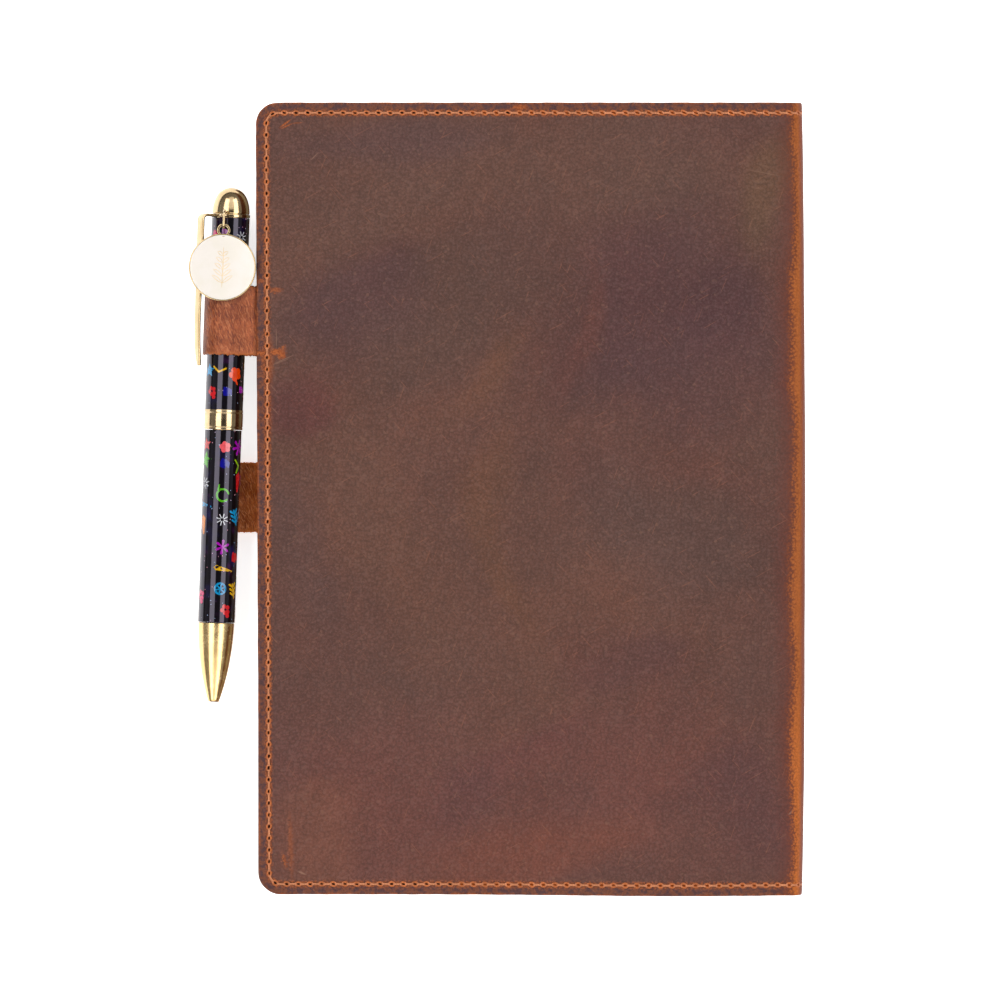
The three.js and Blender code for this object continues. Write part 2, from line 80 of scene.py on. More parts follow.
# ---- Sizes taken from the CAD part --------------------------------------------------------------

FORE = extent("back_cover_leather", 0)[0]
SPINE = extent("spine_leather", 0)[1]
HALF = extent("spine_leather", 1)[1]
TOP = extent("back_cover_leather", 2)[1]
LEATHER = TOP - extent("back_cover_leather", 2)[0]
FOLD = SPINE - extent("spine_leather", 0)[0]
CORNER = 6.0
SEAM = 2.9

RISE = TOP / 2 - FOLD  # half of the spine's flat part
FOLD_START = SPINE - FOLD - FORE  # fore edge to the fold, along the hide
FOLD_END = FOLD_START + FOLD * math.pi / 2
DEVELOPED = FOLD_END + RISE  # fore edge to the middle of the spine, along the hide

PEN_AXIS = np.array(joints["pen_slide"]["axis"])
PEN_BAND = 75.85  # nose cone's tip to the centre band
PEN_ORIGIN = np.array(joints["pen_twist"]["pos_m"]) / MM - PEN_AXIS * PEN_BAND
PEN_RADIUS = 5.3


def pen_to_row(points):
    """Points across, along and above the pen's axis, in the part's frame."""
    points = np.asarray(points, float)
    across = np.array([PEN_AXIS[1], -PEN_AXIS[0], 0.0])
    return (
        PEN_ORIGIN
        + points[:, :1] * across
        + points[:, 1:2] * PEN_AXIS
        + points[:, 2:] * np.array([0.0, 0.0, 1.0])
    )


# ---- Meshes -------------------------------------------------------------------------------------


def make_object(name, points, faces, materials, smooth=True, sharp=None, indices=None):
    mesh = bpy.data.meshes.new(name)
    mesh.from_pydata((np.asarray(points, float) * MM).tolist(), [], faces)
    for material in materials if isinstance(materials, list) else [materials]:
        mesh.materials.append(material)
    mesh.polygons.foreach_set("use_smooth", [smooth] * len(mesh.polygons))
    if indices is not None:
        mesh.polygons.foreach_set("material_index", indices)
    if sharp is not None:
        mesh.set_sharp_from_angle(angle=math.radians(sharp))
    mesh.update()
    made = bpy.data.objects.new(name, mesh)
    bpy.context.scene.collection.objects.link(made)
    return made


def add_attribute(piece, name, values):
    values = np.asarray(values, np.float32)
    kind = "FLOAT" if values.ndim == 1 else "FLOAT_VECTOR"
    attribute = piece.data.attributes.new(name, kind, "POINT")
    attribute.data.foreach_set("value" if values.ndim == 1 else "vector", values.ravel())


def strip_faces(rows, columns, start=0, wrap_rows=False, wrap_columns=False):
    """Faces of a grid of points that were added row by row."""
    faces = []
    for i in range(rows if wrap_rows else rows - 1):
        for j in range(columns if wrap_columns else columns - 1):
            a = start + i * columns + j
            b = start + i * columns + (j + 1) % columns
            c = start + (i + 1) % rows * columns + (j + 1) % columns
            d = start + (i + 1) % rows * columns + j
            faces.append((a, b, c, d))
    return faces


class Shell:
    """Points and faces gathered for one object."""

    def __init__(self):
        self.points = []
        self.faces = []
        self.indices = []

    def add(self, points, faces, material=0):
        start = len(self.points)
        self.points.extend(np.asarray(points, float).tolist())
        self.faces.extend(tuple(start + k for k in face) for face in faces)
        self.indices.extend([material] * len(faces))
        return start

    def build(self, name, materials, **options):
        return make_object(
            name, self.points, self.faces, materials, indices=self.indices, **options
        )


def fillet(points, radius, steps=4):
    """An open line of points with its inner corners rounded."""
    points = [np.array(p, float) for p in points]
    line = [points[0]]
    for before, corner, after in zip(points, points[1:], points[2:]):
        back, on = before - corner, after - corner
        reach = min(radius, np.linalg.norm(back) * 0.45, np.linalg.norm(on) * 0.45)
        start = corner + back / np.linalg.norm(back) * reach
        end = corner + on / np.linalg.norm(on) * reach
        for t in np.linspace(0, 1, steps + 1):
            line.append((1 - t) ** 2 * start + 2 * t * (1 - t) * corner + t**2 * end)
    return line + [points[-1]]


def turn(shell, outline, place, segments=96, material=0, flip=False):
    """Turns an outline of [radius, height]. place gives a point from a radius, angle and height.

    material may be a list, with one for each step of the outline. flip turns the faces over.
    """
    rings, points = [], []
    for r, height in outline:
        count = segments if r > 1e-9 else 1
        rings.append([len(points) + k % count for k in range(segments + 1)])
        points.extend(place(r, 2 * math.pi * k / segments, height) for k in range(count))
    start = shell.add(pen_to_row(points), [])
    for number, (low, high) in enumerate(zip(rings, rings[1:])):
        for k in range(segments):
            face = list(dict.fromkeys((low[k], high[k], high[k + 1], low[k + 1])))
            if len(face) > 2:
                face = face[:1] + face[:0:-1] if flip else face
                shell.faces.append(tuple(start + v for v in face))
                shell.indices.append(material[number] if isinstance(material, list) else material)


def around_pen(r, angle, station):
    return (r * math.sin(angle), station, r * math.cos(angle))


def frames_along(path, hint, closed=False):
    """Side and up at each point of a path, with up kept near the hint."""
    if closed:
        tangent = np.roll(path, -1, 0) - np.roll(path, 1, 0)
    else:
        tangent = np.gradient(path, axis=0)
    tangent /= np.linalg.norm(tangent, axis=1, keepdims=True)
    side = np.cross(tangent, np.broadcast_to(np.asarray(hint, float), path.shape))
    side /= np.linalg.norm(side, axis=1, keepdims=True)
    return side, np.cross(side, tangent)


def sweep(shell, path, hint, section, closed=False, material=0):
    """Carries a section of [side, up] pairs, or one for each point, along a path."""
    path = np.asarray(path, float)
    section = np.asarray(section, float)
    if section.ndim == 2:
        section = np.broadcast_to(section, (len(path), *section.shape))
    side, up = frames_along(path, hint, closed)
    rings = (
        path[:, None] + section[..., :1] * side[:, None] + section[..., 1:] * up[:, None]
    )
    rows, columns = rings.shape[:2]
    faces = strip_faces(rows, columns, wrap_rows=closed, wrap_columns=True)
    if not closed:
        faces.append(tuple(range(columns)))
        faces.append(tuple(reversed(range((rows - 1) * columns, rows * columns))))
    start = shell.add(rings.reshape(-1, 3), faces, material)
    return start, rings.shape


def round_section(radius, sides=10, flat=1.0):
    angles = np.linspace(0, 2 * math.pi, sides, endpoint=False)
    return np.stack([radius * np.cos(angles), radius * flat * np.sin(angles)], 1)


def box_section(width, height, bevel, steps=3):
    """A rectangle with rounded corners."""
    points = []
    for turn, (sx, sy) in enumerate([(1, 1), (-1, 1), (-1, -1), (1, -1)]):
        for angle in np.linspace(0, math.pi / 2, steps + 1) + turn * math.pi / 2:
            points.append(
                (
                    sx * (width / 2 - bevel) + bevel * math.cos(angle),
                    sy * (height / 2 - bevel) + bevel * math.sin(angle),
                )
            )
    return np.array(points)


def panel_outline(left, right, half, radius, steps=8):
    """An outline in X and Y with two rounded corners at the fore edge, anticlockwise."""
    points = [(right, -half), (right, half)]
    for quarter, sign in ((1, 1), (2, -1)):
        for angle in np.linspace(quarter, quarter + 1, steps + 1) * math.pi / 2:
            x = left + radius + radius * math.cos(angle)
            points.append((x, sign * (half - radius) + radius * math.sin(angle)))
    return np.array(points)


def offset_outline(outline, amount):
    """An outline moved outwards, with mitred corners."""
    before = outline - np.roll(outline, 1, 0)
    after = np.roll(outline, -1, 0) - outline
    normals = []
    for a, b in zip(before, after):
        na = np.array([a[1], -a[0]]) / np.linalg.norm(a)
        nb = np.array([b[1], -b[0]]) / np.linalg.norm(b)
        normals.append((na + nb) / (1 + na @ nb))
    return outline + amount * np.array(normals)


def plate(shell, outline, levels, materials=(0, 0)):
    """Stacks an outline at levels of [height, offset]. materials are for its side and its caps."""
    outline = np.asarray(outline, float)
    rings = []
    for height, offset in levels:
        ring = offset_outline(outline, offset)
        rings.append(np.column_stack([ring, np.full(len(ring), height)]))
    rows, columns = len(rings), len(outline)
    points = np.concatenate(rings)
    start = shell.add(points, strip_faces(rows, columns, wrap_columns=True), materials[0])
    shell.faces.append(tuple(reversed(range(start, start + columns))))
    shell.faces.append(tuple(range(start + (rows - 1) * columns, start + rows * columns)))
    shell.indices.extend([materials[1]] * 2)


def rounded_levels(low, high, bevel):
    """Levels for a plate whose two rims are rounded."""
    levels = [
        (low + bevel * (1 - math.sin(angle)), -bevel * (1 - math.cos(angle)))
        for angle in np.linspace(math.pi / 2, 0, 4)
    ]
    return levels + [(low + high - height, offset) for height, offset in levels[::-1]]


# ---- Materials ----------------------------------------------------------------------------------


def srgb(red, green, blue):
    linear = []
    for value in (red, green, blue):
        value /= 255
        linear.append(value / 12.92 if value <= 0.04045 else ((value + 0.055) / 1.055) ** 2.4)
    return (*linear, 1.0)


LIGHT = 2.03  # how much brighter than its colour a matt sheet looks under this scene's lights
GLARE = 0.029  # what a matt skin's own reflection adds


def seen(red, green, blue):
    """The base colour that looks like this once it is lit."""
    color = srgb(red, green, blue)
    return (*[max(value - GLARE, 0.002) / LIGHT for value in color[:3]], 1.0)


class Shader:
    """One material and short ways to add nodes to it."""

    def __init__(self, name, **settings):
        self.material = bpy.data.materials.new(name)
        self.material.use_nodes = True
        self.nodes = self.material.node_tree.nodes
        self.links = self.material.node_tree.links
        self.bsdf = self.nodes["Principled BSDF"]
        self.finish(**settings)

    def finish(self, **sockets):
        self.put_all(self.bsdf, {key.replace("_", " "): value for key, value in sockets.items()})
        return self.material

    def put(self, socket, value):
        if isinstance(value, bpy.types.NodeSocket):
            self.links.new(value, socket)
        elif value is not None:
            socket.default_value = value

    def put_all(self, node, sockets):
        for name, value in sockets.items():
            self.put(node.inputs[name], value)

    def node(self, kind, *inputs, **options):
        node = self.nodes.new("ShaderNode" + kind)
        for option, value in options.items():
            setattr(node, option, value)
        for socket, value in zip(node.inputs, inputs):
            self.put(socket, value)
        return node

    def math(self, operation, a, b=None):
        return self.node("Math", a, b, operation=operation).outputs[0]

    def add(self, a, b):
        return self.math("ADD", a, b)

    def minus(self, a, b):
        return self.math("SUBTRACT", a, b)

    def times(self, a, b):
        return self.math("MULTIPLY", a, b)

    def top(self, a, b):
        return self.math("MAXIMUM", a, b)

    def vector(self, operation, *inputs):
        return self.node("VectorMath", *inputs, operation=operation).outputs

    def ramp(self, value, low, high, start=0.0, end=1.0):
        ends = (value, low, high, start, end)
        return self.node("MapRange", *ends, interpolation_type="SMOOTHSTEP").outputs["Result"]

    def mix(self, factor, a, b, blend="MIX"):
        node = self.node("Mix", data_type="RGBA", blend_type=blend)
        for index, value in ((0, factor), (6, a), (7, b)):
            self.put(node.inputs[index], value)
        return node.outputs[2]

    def shade(self, color, amount):
        """The colour made lighter or darker by a factor."""
        grey = self.node("CombineColor", amount, amount, amount).outputs[0]
        return self.mix(1.0, color, grey, "MULTIPLY")

    def noise(self, vector, scale, detail=3.0, roughness=0.5, distortion=0.0, flat=False):
        node = self.node("TexNoise", noise_dimensions="2D" if flat else "3D")
        sockets = {"Vector": vector, "Scale": scale, "Detail": detail}
        self.put_all(node, sockets | {"Roughness": roughness, "Distortion": distortion})
        return node.outputs[0]

    def cells(self, vector, scale, flat=False):
        """The distance to the nearest of many scattered spots, and a colour for each spot."""
        node = self.node("TexVoronoi", voronoi_dimensions="2D" if flat else "3D")
        self.put_all(node, {"Vector": vector, "Scale": scale})
        return node.outputs["Distance"], node.outputs["Color"]

    def attribute(self, name, output="Vector"):
        return self.node("Attribute", attribute_name=name).outputs[output]

    def combine(self, x, y):
        return self.node("CombineXYZ", x, y, 0.0).outputs[0]

    def split(self, vector):
        return self.node("SeparateXYZ", vector).outputs

    def place(self):
        """Where a point is on its own piece, in millimetres."""
        coordinates = self.node("TexCoord").outputs["Object"]
        return self.vector("SCALE", coordinates, None, None, 1 / MM)[0]

    def mapped(self, vector, location=(0, 0, 0), rotation=0.0, scale=(1, 1, 1)):
        """The vector in the frame of something placed, turned and sized like that."""
        places = (vector, location, (0, 0, rotation), scale)
        return self.node("Mapping", *places, vector_type="TEXTURE").outputs[0]

    def bump(self, height, distance, strength=1.0, before=None):
        node = self.node("Bump")
        sockets = {"Height": height, "Distance": distance * MM, "Strength": strength}
        self.put_all(node, sockets | {"Normal": before})
        return node.outputs[0]


# Broad tones of the hide: distance along it from the back cover's fore edge, height, half length,
# half height, turn, colour and strength. The front cover lies beyond the spine.
TONES = (
    (76, 86, 78, 15, 0.04, (110, 80, 70), 0.8),
    (35, 104, 36, 7, 0.0, (101, 74, 70), 0.8),
    (141, 92, 8, 16, 0.0, (113, 84, 67), 0.8),
    (116, 50, 40, 33, 0.35, (96, 67, 67), 0.85),
    (133, 60, 13, 19, 0.2, (95, 66, 68), 0.5),
    (24, 58, 21, 18, 0.0, (97, 69, 67), 0.9),
    (50, 50, 22, 24, 0.5, (102, 77, 69), 0.6),
    (17, 33, 9, 8, 0.2, (106, 65, 62), 0.8),
    (63, 28, 13, 5, 0.75, (119, 82, 65), 0.6),
    (88, 42, 4, 22, 0.1, (113, 73, 66), 0.6),
    (72, -8, 5, 30, 0.15, (120, 82, 64), 0.6),
    (38, -4, 12, 34, 0.25, (113, 80, 68), 0.6),
    (110, 2, 24, 8, 0.1, (114, 77, 69), 0.6),
    (113, -14, 20, 20, 0.3, (102, 76, 69), 0.8),
    (12, -18, 12, 30, 0.0, (103, 75, 69), 0.7),
    (98, -48, 20, 10, -0.3, (103, 70, 67), 0.65),
    (66, -66, 24, 7, 0.2, (103, 68, 66), 0.8),
    (70, -86, 90, 34, 0.0, (117, 75, 68), 0.8),
    (82, -100, 38, 11, 0.0, (131, 79, 65), 0.75),
    (56, -78, 14, 12, 0.3, (105, 70, 67), 0.7),
    (138, -84, 13, 14, 0.2, (104, 69, 66), 0.7),
    (22, -92, 16, 12, 0.4, (128, 84, 70), 0.7),
    (7.3, 20.8, 2.0, 4.5, 0.0, (128, 66, 62), 0.7),
    (200, 60, 30, 26, 0.4, (94, 66, 66), 0.9),
    (262, 10, 26, 40, 0.2, (104, 79, 67), 0.8),
    (226, -70, 60, 22, 0.1, (118, 75, 66), 0.8),
)
# Rubbed and scratched places: the same placing, then how strong it is and its kind. Kind 0 is a
# ragged tan scuff, 1 a pale scratch and 2 a clean tan stroke.
MARKS = (
    (5.6, 40.7, 2.7, 1.1, 0.1, 1.0, 0),
    (6.8, 40.0, 1.7, 1.3, -0.5, 1.0, 0),
    (7.2, 41.6, 1.4, 0.6, 0.7, 0.8, 0),
    (3.0, 38.4, 2.0, 8.6, 0.0, 0.6, 0),
    (3.0, 24.0, 1.5, 12.0, 0.0, 0.35, 0),
    (1.3, 40.4, 2.2, 0.9, 0.0, 1.0, 0),
    (1.3, 60.4, 1.6, 0.6, 0.0, 0.7, 0),
    (5.2, 57.9, 2.2, 0.9, 0.0, 0.7, 0),
    (8.15, 104.1, 2.2, 0.30, 0.62, 1.0, 2),
    (8.5, 103.4, 2.0, 0.24, 0.44, 0.9, 2),
    (11.5, 104.3, 1.7, 0.22, 0.07, 0.6, 2),
    (7.2, -100.6, 0.5, 2.4, 0.25, 0.8, 0),
    (9.0, -97.0, 0.8, 10.0, 0.03, 0.4, 0),
    (73.0, 108.6, 3.0, 1.0, 0.0, 0.9, 0),
    (12.0, -104.0, 1.3, 0.3, -0.4, 0.9, 1),
    (148.4, -87.0, 1.2, 0.3, 0.7, 1.0, 1),
    (7.5, 38.6, 3.4, 0.17, 0.42, 0.6, 1),
    (6.6, 37.9, 3.2, 0.15, 0.36, 0.5, 1),
    (5.5, 44.4, 0.18, 3.0, 0.0, 0.5, 1),
    (4.8, 30.4, 1.8, 0.15, -0.85, 0.5, 1),
    (5.0, 24.4, 1.8, 0.15, -0.8, 0.5, 1),
    (16.2, 95.0, 1.6, 0.15, 0.78, 0.7, 1),
    (141.0, 90.4, 5.0, 0.18, -0.2, 0.4, 1),
)


def leather_material():
    """Waxed pull-up hide: mottled dark brown, orange where it is bent, rubbed or pierced."""
    s = Shader("waxed_hide", Specular_IOR_Level=0.22)
    run, y, inset = s.split(s.attribute("hide"))
    depth = s.attribute("depth", "Fac")
    p = s.combine(run, y)
    e = s.minus(DEVELOPED, s.math("ABSOLUTE", s.minus(run, DEVELOPED)))

    broad = s.noise(p, 0.028, 2.0, flat=True)
    mottle = s.noise(p, 0.17, 3.0, 0.6, 0.5, flat=True)
    streaks = s.noise(s.mapped(p, (0, 0, 0), -0.3, (1, 5, 1)), 0.26, 3.0, 0.65, 0.6, flat=True)
    blots = s.noise(s.mapped(p, (9, 3, 2)), 0.62, 3.0, 0.6, flat=True)
    grain = s.noise(p, 1.55, 2.0, 0.75, flat=True)
    near, pick = s.cells(p, 1.35, flat=True)
    crease = s.ramp(near, 0.72, 0.30)
    bead = s.split(pick)[0]

    color = s.attribute("tone")
    color = s.shade(color, s.ramp(mottle, 0.25, 0.75, 0.95, 1.05))
    color = s.shade(color, s.ramp(streaks, 0.25, 0.75, 0.94, 1.06))
    # Painted shade and light: darker in the creases between the grain's pebbles and lighter on
    # their tops, on top of the bump.
    color = s.shade(color, s.ramp(crease, 0, 1, 0.93, 1.03))
    color = s.shade(color, s.ramp(bead, 0, 1, 0.95, 1.05))
    color = s.shade(color, s.ramp(grain, 0.3, 0.7, 0.965, 1.035))
    light_bits = s.top(s.ramp(grain, 0.50, 0.72, 0, 0.075), s.ramp(bead, 0.6, 1.0, 0, 0.06))
    color = s.mix(light_bits, color, seen(186, 160, 152))
    # Random dark grain specks, and painted shade in the creases between the pebbles.
    dark_specks_and_crease_shade = s.top(s.ramp(grain, 0.50, 0.30, 0, 0.22), s.ramp(crease, 0.5, 0.0, 0, 0.18))
    color = s.mix(dark_specks_and_crease_shade, color, seen(60, 33, 28))
    rubbed = s.times(s.ramp(bead, 0.90, 0.98), s.ramp(blots, 0.5, 0.62, 0, 0.3))
    color = s.mix(rubbed, color, seen(140, 102, 80))

    # Pull-up: where the wax has moved, the tan underneath shows.
    speck = s.ramp(s.add(s.times(grain, 0.6), s.times(crease, 0.4)), 0.45, 0.75, 0.5, -0.5)
    drift = s.ramp(mottle, 0.3, 0.7, -0.5, 0.5)
    from_seam = s.math("ABSOLUTE", s.minus(inset, SEAM))
    halo = s.ramp(s.add(from_seam, s.times(speck, 0.6)), 1.2, 0.35)
    border = s.times(s.ramp(inset, 2.5, 1.9), s.ramp(e, FOLD_END, FOLD_START))
    patchy = s.mix(s.ramp(blots, 0.42, 0.56), seen(92, 66, 68), seen(130, 80, 62))
    patchy = s.shade(patchy, s.ramp(grain, 0.3, 0.7, 0.8, 1.2))
    color = s.mix(s.times(border, 0.8), color, patchy)
    rim = s.times(s.ramp(inset, 0.75, 0.1), s.ramp(streaks, 0.42, 0.6, 0.1, 0.75))
    wander = s.ramp(broad, 0.3, 0.7, -0.6, 0.6)
    bent = s.add(e, s.add(s.times(drift, 0.5), s.times(speck, -1.3)))
    bent = s.add(bent, s.add(wander, s.ramp(y, 20, 100, 0.0, -0.4)))
    dusk = s.times(s.ramp(bent, FOLD_START - 6, FOLD_START), s.ramp(bent, DEVELOPED, FOLD_END))
    color = s.mix(s.times(dusk, 0.5), color, seen(116, 64, 54))
    pull = s.top(s.times(halo, 0.62), rim)
    pale = None
    shift = s.vector("MULTIPLY_ADD", grain.node.outputs[1], (2.4, 2.4, 0), (-1.2, -1.2, 0))[0]
    frayed = s.vector("ADD", p, shift)[0]
    for run_at, y_at, long, high, turn, strength, kind in MARKS:
        local = s.mapped(p if kind else frayed, (run_at, y_at, 0), turn, (long, high, 1))
        reach = s.vector("LENGTH", local)["Value"]
        mark = s.ramp(reach, 1.2, 0.4, 0, strength)
        if kind == 1:
            pale = mark if pale is None else s.top(pale, mark)
        else:
            pull = s.top(pull, mark)
    scratches = None
    for turn, offset in ((0.5, 0), (2.3, 30), (1.2, 60)):
        streak = s.mapped(p, (offset, offset, 0), turn, (9, 0.4, 1))
        line = s.ramp(s.noise(streak, 0.9, 1.0, flat=True), 0.76, 0.82)
        scratches = line if scratches is None else s.top(scratches, line)
    pull = s.top(pull, s.times(scratches, 0.2))
    tan = s.mix(s.ramp(grain, 0.3, 0.7), seen(146, 78, 46), seen(196, 110, 64))
    color = s.mix(pull, color, tan)
    scraped = s.top(s.times(pale, 0.7), s.times(scratches, 0.15))
    color = s.mix(scraped, color, seen(172, 132, 112))
    # The fold's orange ridge is pull-up. Within it the start of the bend is painted lighter as
    # painted light, and the band further round the fold is painted darker as painted shade. The
    # ridge also gets darker towards the head.
    ridge = s.times(
        s.ramp(bent, FOLD_START - 1.7, FOLD_START + 1.5), s.ramp(bent, DEVELOPED, FOLD_END - 1.5)
    )
    shoulder = s.ramp(e, FOLD_START + 4.4, FOLD_START + 2.4)
    sunlit = s.ramp(bent, FOLD_START - 0.5, FOLD_START + 2.6)
    amber = s.mix(sunlit, seen(142, 76, 46), seen(212, 120, 60))
    amber = s.shade(amber, s.ramp(grain, 0.3, 0.7, 0.82, 1.12))
    amber = s.shade(amber, s.ramp(y, -90, -35, 1.02, 0.77))
    amber = s.mix(shoulder, seen(146, 74, 42), amber)
    color = s.mix(s.times(ridge, 0.92), color, amber)

    cut_edge = s.ramp(depth, 0.12, 0.3)
    color = s.mix(s.times(cut_edge, 0.7), color, seen(120, 68, 46))
    flesh = s.ramp(depth, 0.8, 0.98)
    nap = s.shade(seen(150, 100, 72), s.ramp(blots, 0.3, 0.7, 0.9, 1.1))
    color = s.mix(flesh, color, nap)

    relief = s.add(crease, s.times(grain, 0.8))
    normal = s.bump(s.add(mottle, s.times(streaks, 0.6)), 0.16, 0.5)
    normal = s.bump(relief, 0.09, 0.7, normal)
    normal = s.bump(s.times(s.top(scratches, pale), -1.0), 0.05, 0.5, normal)
    roughness = s.add(s.ramp(broad, 0.3, 0.7, 0.54, 0.62), s.times(pull, 0.08))
    return s.finish(Base_Color=color, Roughness=roughness, Normal=normal)


def strap_material(name, painted_light_gain, raw_edge_painted_light_gain):
    """Softer tan leather with close diagonal creases and paler raw edges. The creases are painted
    lighter on their crests and darker in their troughs, as painted light and shade.
    """
    s = Shader(name, Specular_IOR_Level=0.35)
    across, along, edge = s.split(s.attribute("strap"))
    p = s.combine(across, along)
    waves = s.noise(s.mapped(p, (0, 0, 0), 0.34, (2.6, 0.62, 1)), 1.45, 2.0, 0.5, 0.7, flat=True)
    fine = s.noise(p, 1.7, 3.0, 0.65, flat=True)
    patches = s.noise(p, 0.14, 3.0, flat=True)
    color = s.mix(s.ramp(patches, 0.35, 0.65), seen(156, 82, 50), seen(186, 101, 62))
    # Painted highlight on the creases' crests and painted shade in their troughs, on top of the
    # bump.
    color = s.mix(s.ramp(waves, 0.52, 0.68, 0, 0.6), color, seen(212, 135, 92))
    color = s.mix(s.ramp(waves, 0.48, 0.32, 0, 0.6), color, seen(104, 52, 34))
    # The gain multiplies the colour; above 1 it is painted light, brightening a copy of the strap
    # that lies in shade.
    color = s.mix(1.0, color, (*painted_light_gain, 1.0), "MULTIPLY")
    color = s.shade(color, s.ramp(fine, 0.3, 0.7, 0.88, 1.14))
    raw = s.ramp(s.add(edge, s.ramp(fine, 0.3, 0.7, -0.4, 0.4)), 1.0, 0.15)
    # The raw edge is brightened by its own gain, also painted light.
    raw_color = s.shade(seen(204, 116, 58), raw_edge_painted_light_gain)
    color = s.mix(s.times(raw, 0.65), color, raw_color)
    normal = s.bump(waves, 0.35, 0.8)
    normal = s.bump(fine, 0.08, 0.6, normal)
    return s.finish(Base_Color=color, Roughness=0.52, Normal=normal)


def lining_material():
    s = Shader("tan_lining", Specular_IOR_Level=0.3)
    p = s.place()
    patches = s.noise(p, 0.03, 4.0, 0.6)
    fine = s.noise(p, 1.4, 4.0, 0.6)
    color = s.mix(s.ramp(patches, 0.35, 0.65), seen(138, 86, 60), seen(158, 104, 74))
    color = s.shade(color, s.ramp(fine, 0.3, 0.7, 0.9, 1.1))
    normal = s.bump(fine, 0.06, 0.5)
    return s.finish(Base_Color=color, Roughness=0.6, Normal=normal)


def thread_material():
    s = Shader("waxed_thread", Specular_IOR_Level=0.3)
    along, turn, opened = s.split(s.attribute("strand"))
    lay = s.math("SINE", s.add(s.times(along, 9.0), s.times(turn, 2.0)))
    soil = s.noise(s.combine(along, opened), 0.3, 3.0)
    color = s.mix(s.ramp(opened, 0.2, 0.8), seen(236, 156, 112), seen(216, 124, 74))
    color = s.shade(color, s.ramp(soil, 0.3, 0.7, 0.84, 1.12))
    # Painted shade in the twist's grooves and a faint painted highlight on its crests, on top of
    # the bump.
    color = s.shade(color, s.ramp(lay, -1, 1, 0.88, 1.06))
    normal = s.bump(lay, 0.05, 0.7)
    return s.finish(Base_Color=color, Roughness=0.6, Normal=normal)


def metal_material(name, light, dark, roughness, haziness=0.5, brushed=0.0):
    """Plated metal with faint handling marks."""
    s = Shader(name, Metallic=1.0)
    p = s.place()
    haze = s.noise(p, 0.22, 4.0, 0.6)
    dust = s.noise(p, 1.9, 2.0)
    color = s.mix(s.ramp(haze, 0.35, 0.65), dark, light)
    rough = s.ramp(haze, 0.3, 0.7, roughness, roughness * (1 + haziness))
    rough = s.add(rough, s.ramp(dust, 0.6, 0.8, 0, 0.04))
    lines = s.noise(s.mapped(p, scale=(1, 40, 1)), 6.0, 2.0)
    normal = s.bump(lines, 0.002 + brushed, 0.2)
    return s.finish(Base_Color=color, Roughness=rough, Normal=normal)


def lacquer_material():
    """Black gloss with dim blue and violet clouds and tiny coloured flecks."""
    s = Shader("black_lacquer", Roughness=0.07, IOR=1.55, Specular_Tint=(0.76, 0.70, 0.86, 1.0))
    p = s.place()
    clouds = s.noise(p, 0.16, 2.0)
    other = s.noise(s.mapped(p, (30, 12, 4)), 0.2, 2.0)
    color = s.mix(s.ramp(clouds, 0.56, 0.74), srgb(7, 5, 7), srgb(18, 14, 50))
    color = s.mix(s.ramp(other, 0.6, 0.76), color, srgb(40, 10, 44))
    near, pick = s.cells(p, 0.95)
    red, green, _ = s.split(pick)
    fleck = s.times(s.ramp(near, 0.14, 0.08), s.ramp(red, 0.45, 0.5))
    hue = s.mix(s.ramp(green, 0.3, 0.7), srgb(170, 190, 225), srgb(220, 150, 170))
    color = s.mix(s.times(fleck, 0.8), color, hue)
    return s.finish(Base_Color=color)


def print_material(name, color):
    """A printed motif under the same gloss as the barrel."""
    s = Shader("print_" + name, Roughness=0.12, IOR=1.6)
    ink = s.noise(s.place(), 1.6, 3.0)
    return s.finish(Base_Color=s.shade(color, s.ramp(ink, 0.3, 0.7, 0.82, 1.08)))


def card_material():
    s = Shader("coated_card", Specular_IOR_Level=0.35)
    p = s.place()
    fibre = s.noise(p, 1.1, 5.0, 0.7)
    color = s.shade(seen(52, 50, 52), s.ramp(fibre, 0.3, 0.7, 0.8, 1.15))
    return s.finish(Base_Color=color, Roughness=0.62, Normal=s.bump(fibre, 0.03, 0.5))


def paper_material(ruled):
    s = Shader("ruled_paper" if ruled else "paper_edge_painted_light", Specular_IOR_Level=0.2)
    p = s.place()
    x, y, z = s.split(p)
    fibre = s.noise(p, 0.9, 5.0, 0.7)
    # The edge colour is lighter than the face's: painted light, for leaf edges that face sideways
    # and get less light.
    face, edge = srgb(182, 177, 163), srgb(218, 211, 192)
    color = s.shade(face if ruled else edge, s.ramp(fibre, 0.3, 0.7, 0.95, 1.02))
    if ruled:
        spacing = s.math("PINGPONG", s.add(y, 3.5), 3.5)
        line = s.times(s.ramp(spacing, 0.16, 0.05), s.ramp(s.math("ABSOLUTE", y), 95, 94.5))
        color = s.mix(s.times(line, 0.6), color, seen(150, 158, 172))
    else:
        leaves = s.noise(s.mapped(p, scale=(30, 30, 1)), 7.0, 3.0)
        color = s.shade(color, s.ramp(leaves, 0.35, 0.65, 0.84, 1.04))
    return s.finish(Base_Color=color, Roughness=0.85, Normal=s.bump(fibre, 0.02, 0.4))


# Painted shade: a darkened colour for what lies inside a needle hole, mixed from two tones by
# noise.
def hole_shade_material(name, dark, light):
    s = Shader(name, Roughness=0.9, Specular_IOR_Level=0.1)
    fleck = s.noise(s.place(), 2.0, 2.0)
    return s.finish(Base_Color=s.mix(fleck, dark, light))


HIDE = leather_material()
STRAP = strap_material("tan_strap", (1.0, 1.0, 1.0), 1.0)
# The lower loop's strap is a brightened copy of the tan strap: painted light, for a strap that lies
# in the shade between the pen and the cover.
LOWER_STRAP_PAINTED_LIGHT = strap_material("tan_strap_painted_light", (2.5, 3.0, 3.6), 2.2)
LINING = lining_material()
THREAD = thread_material()
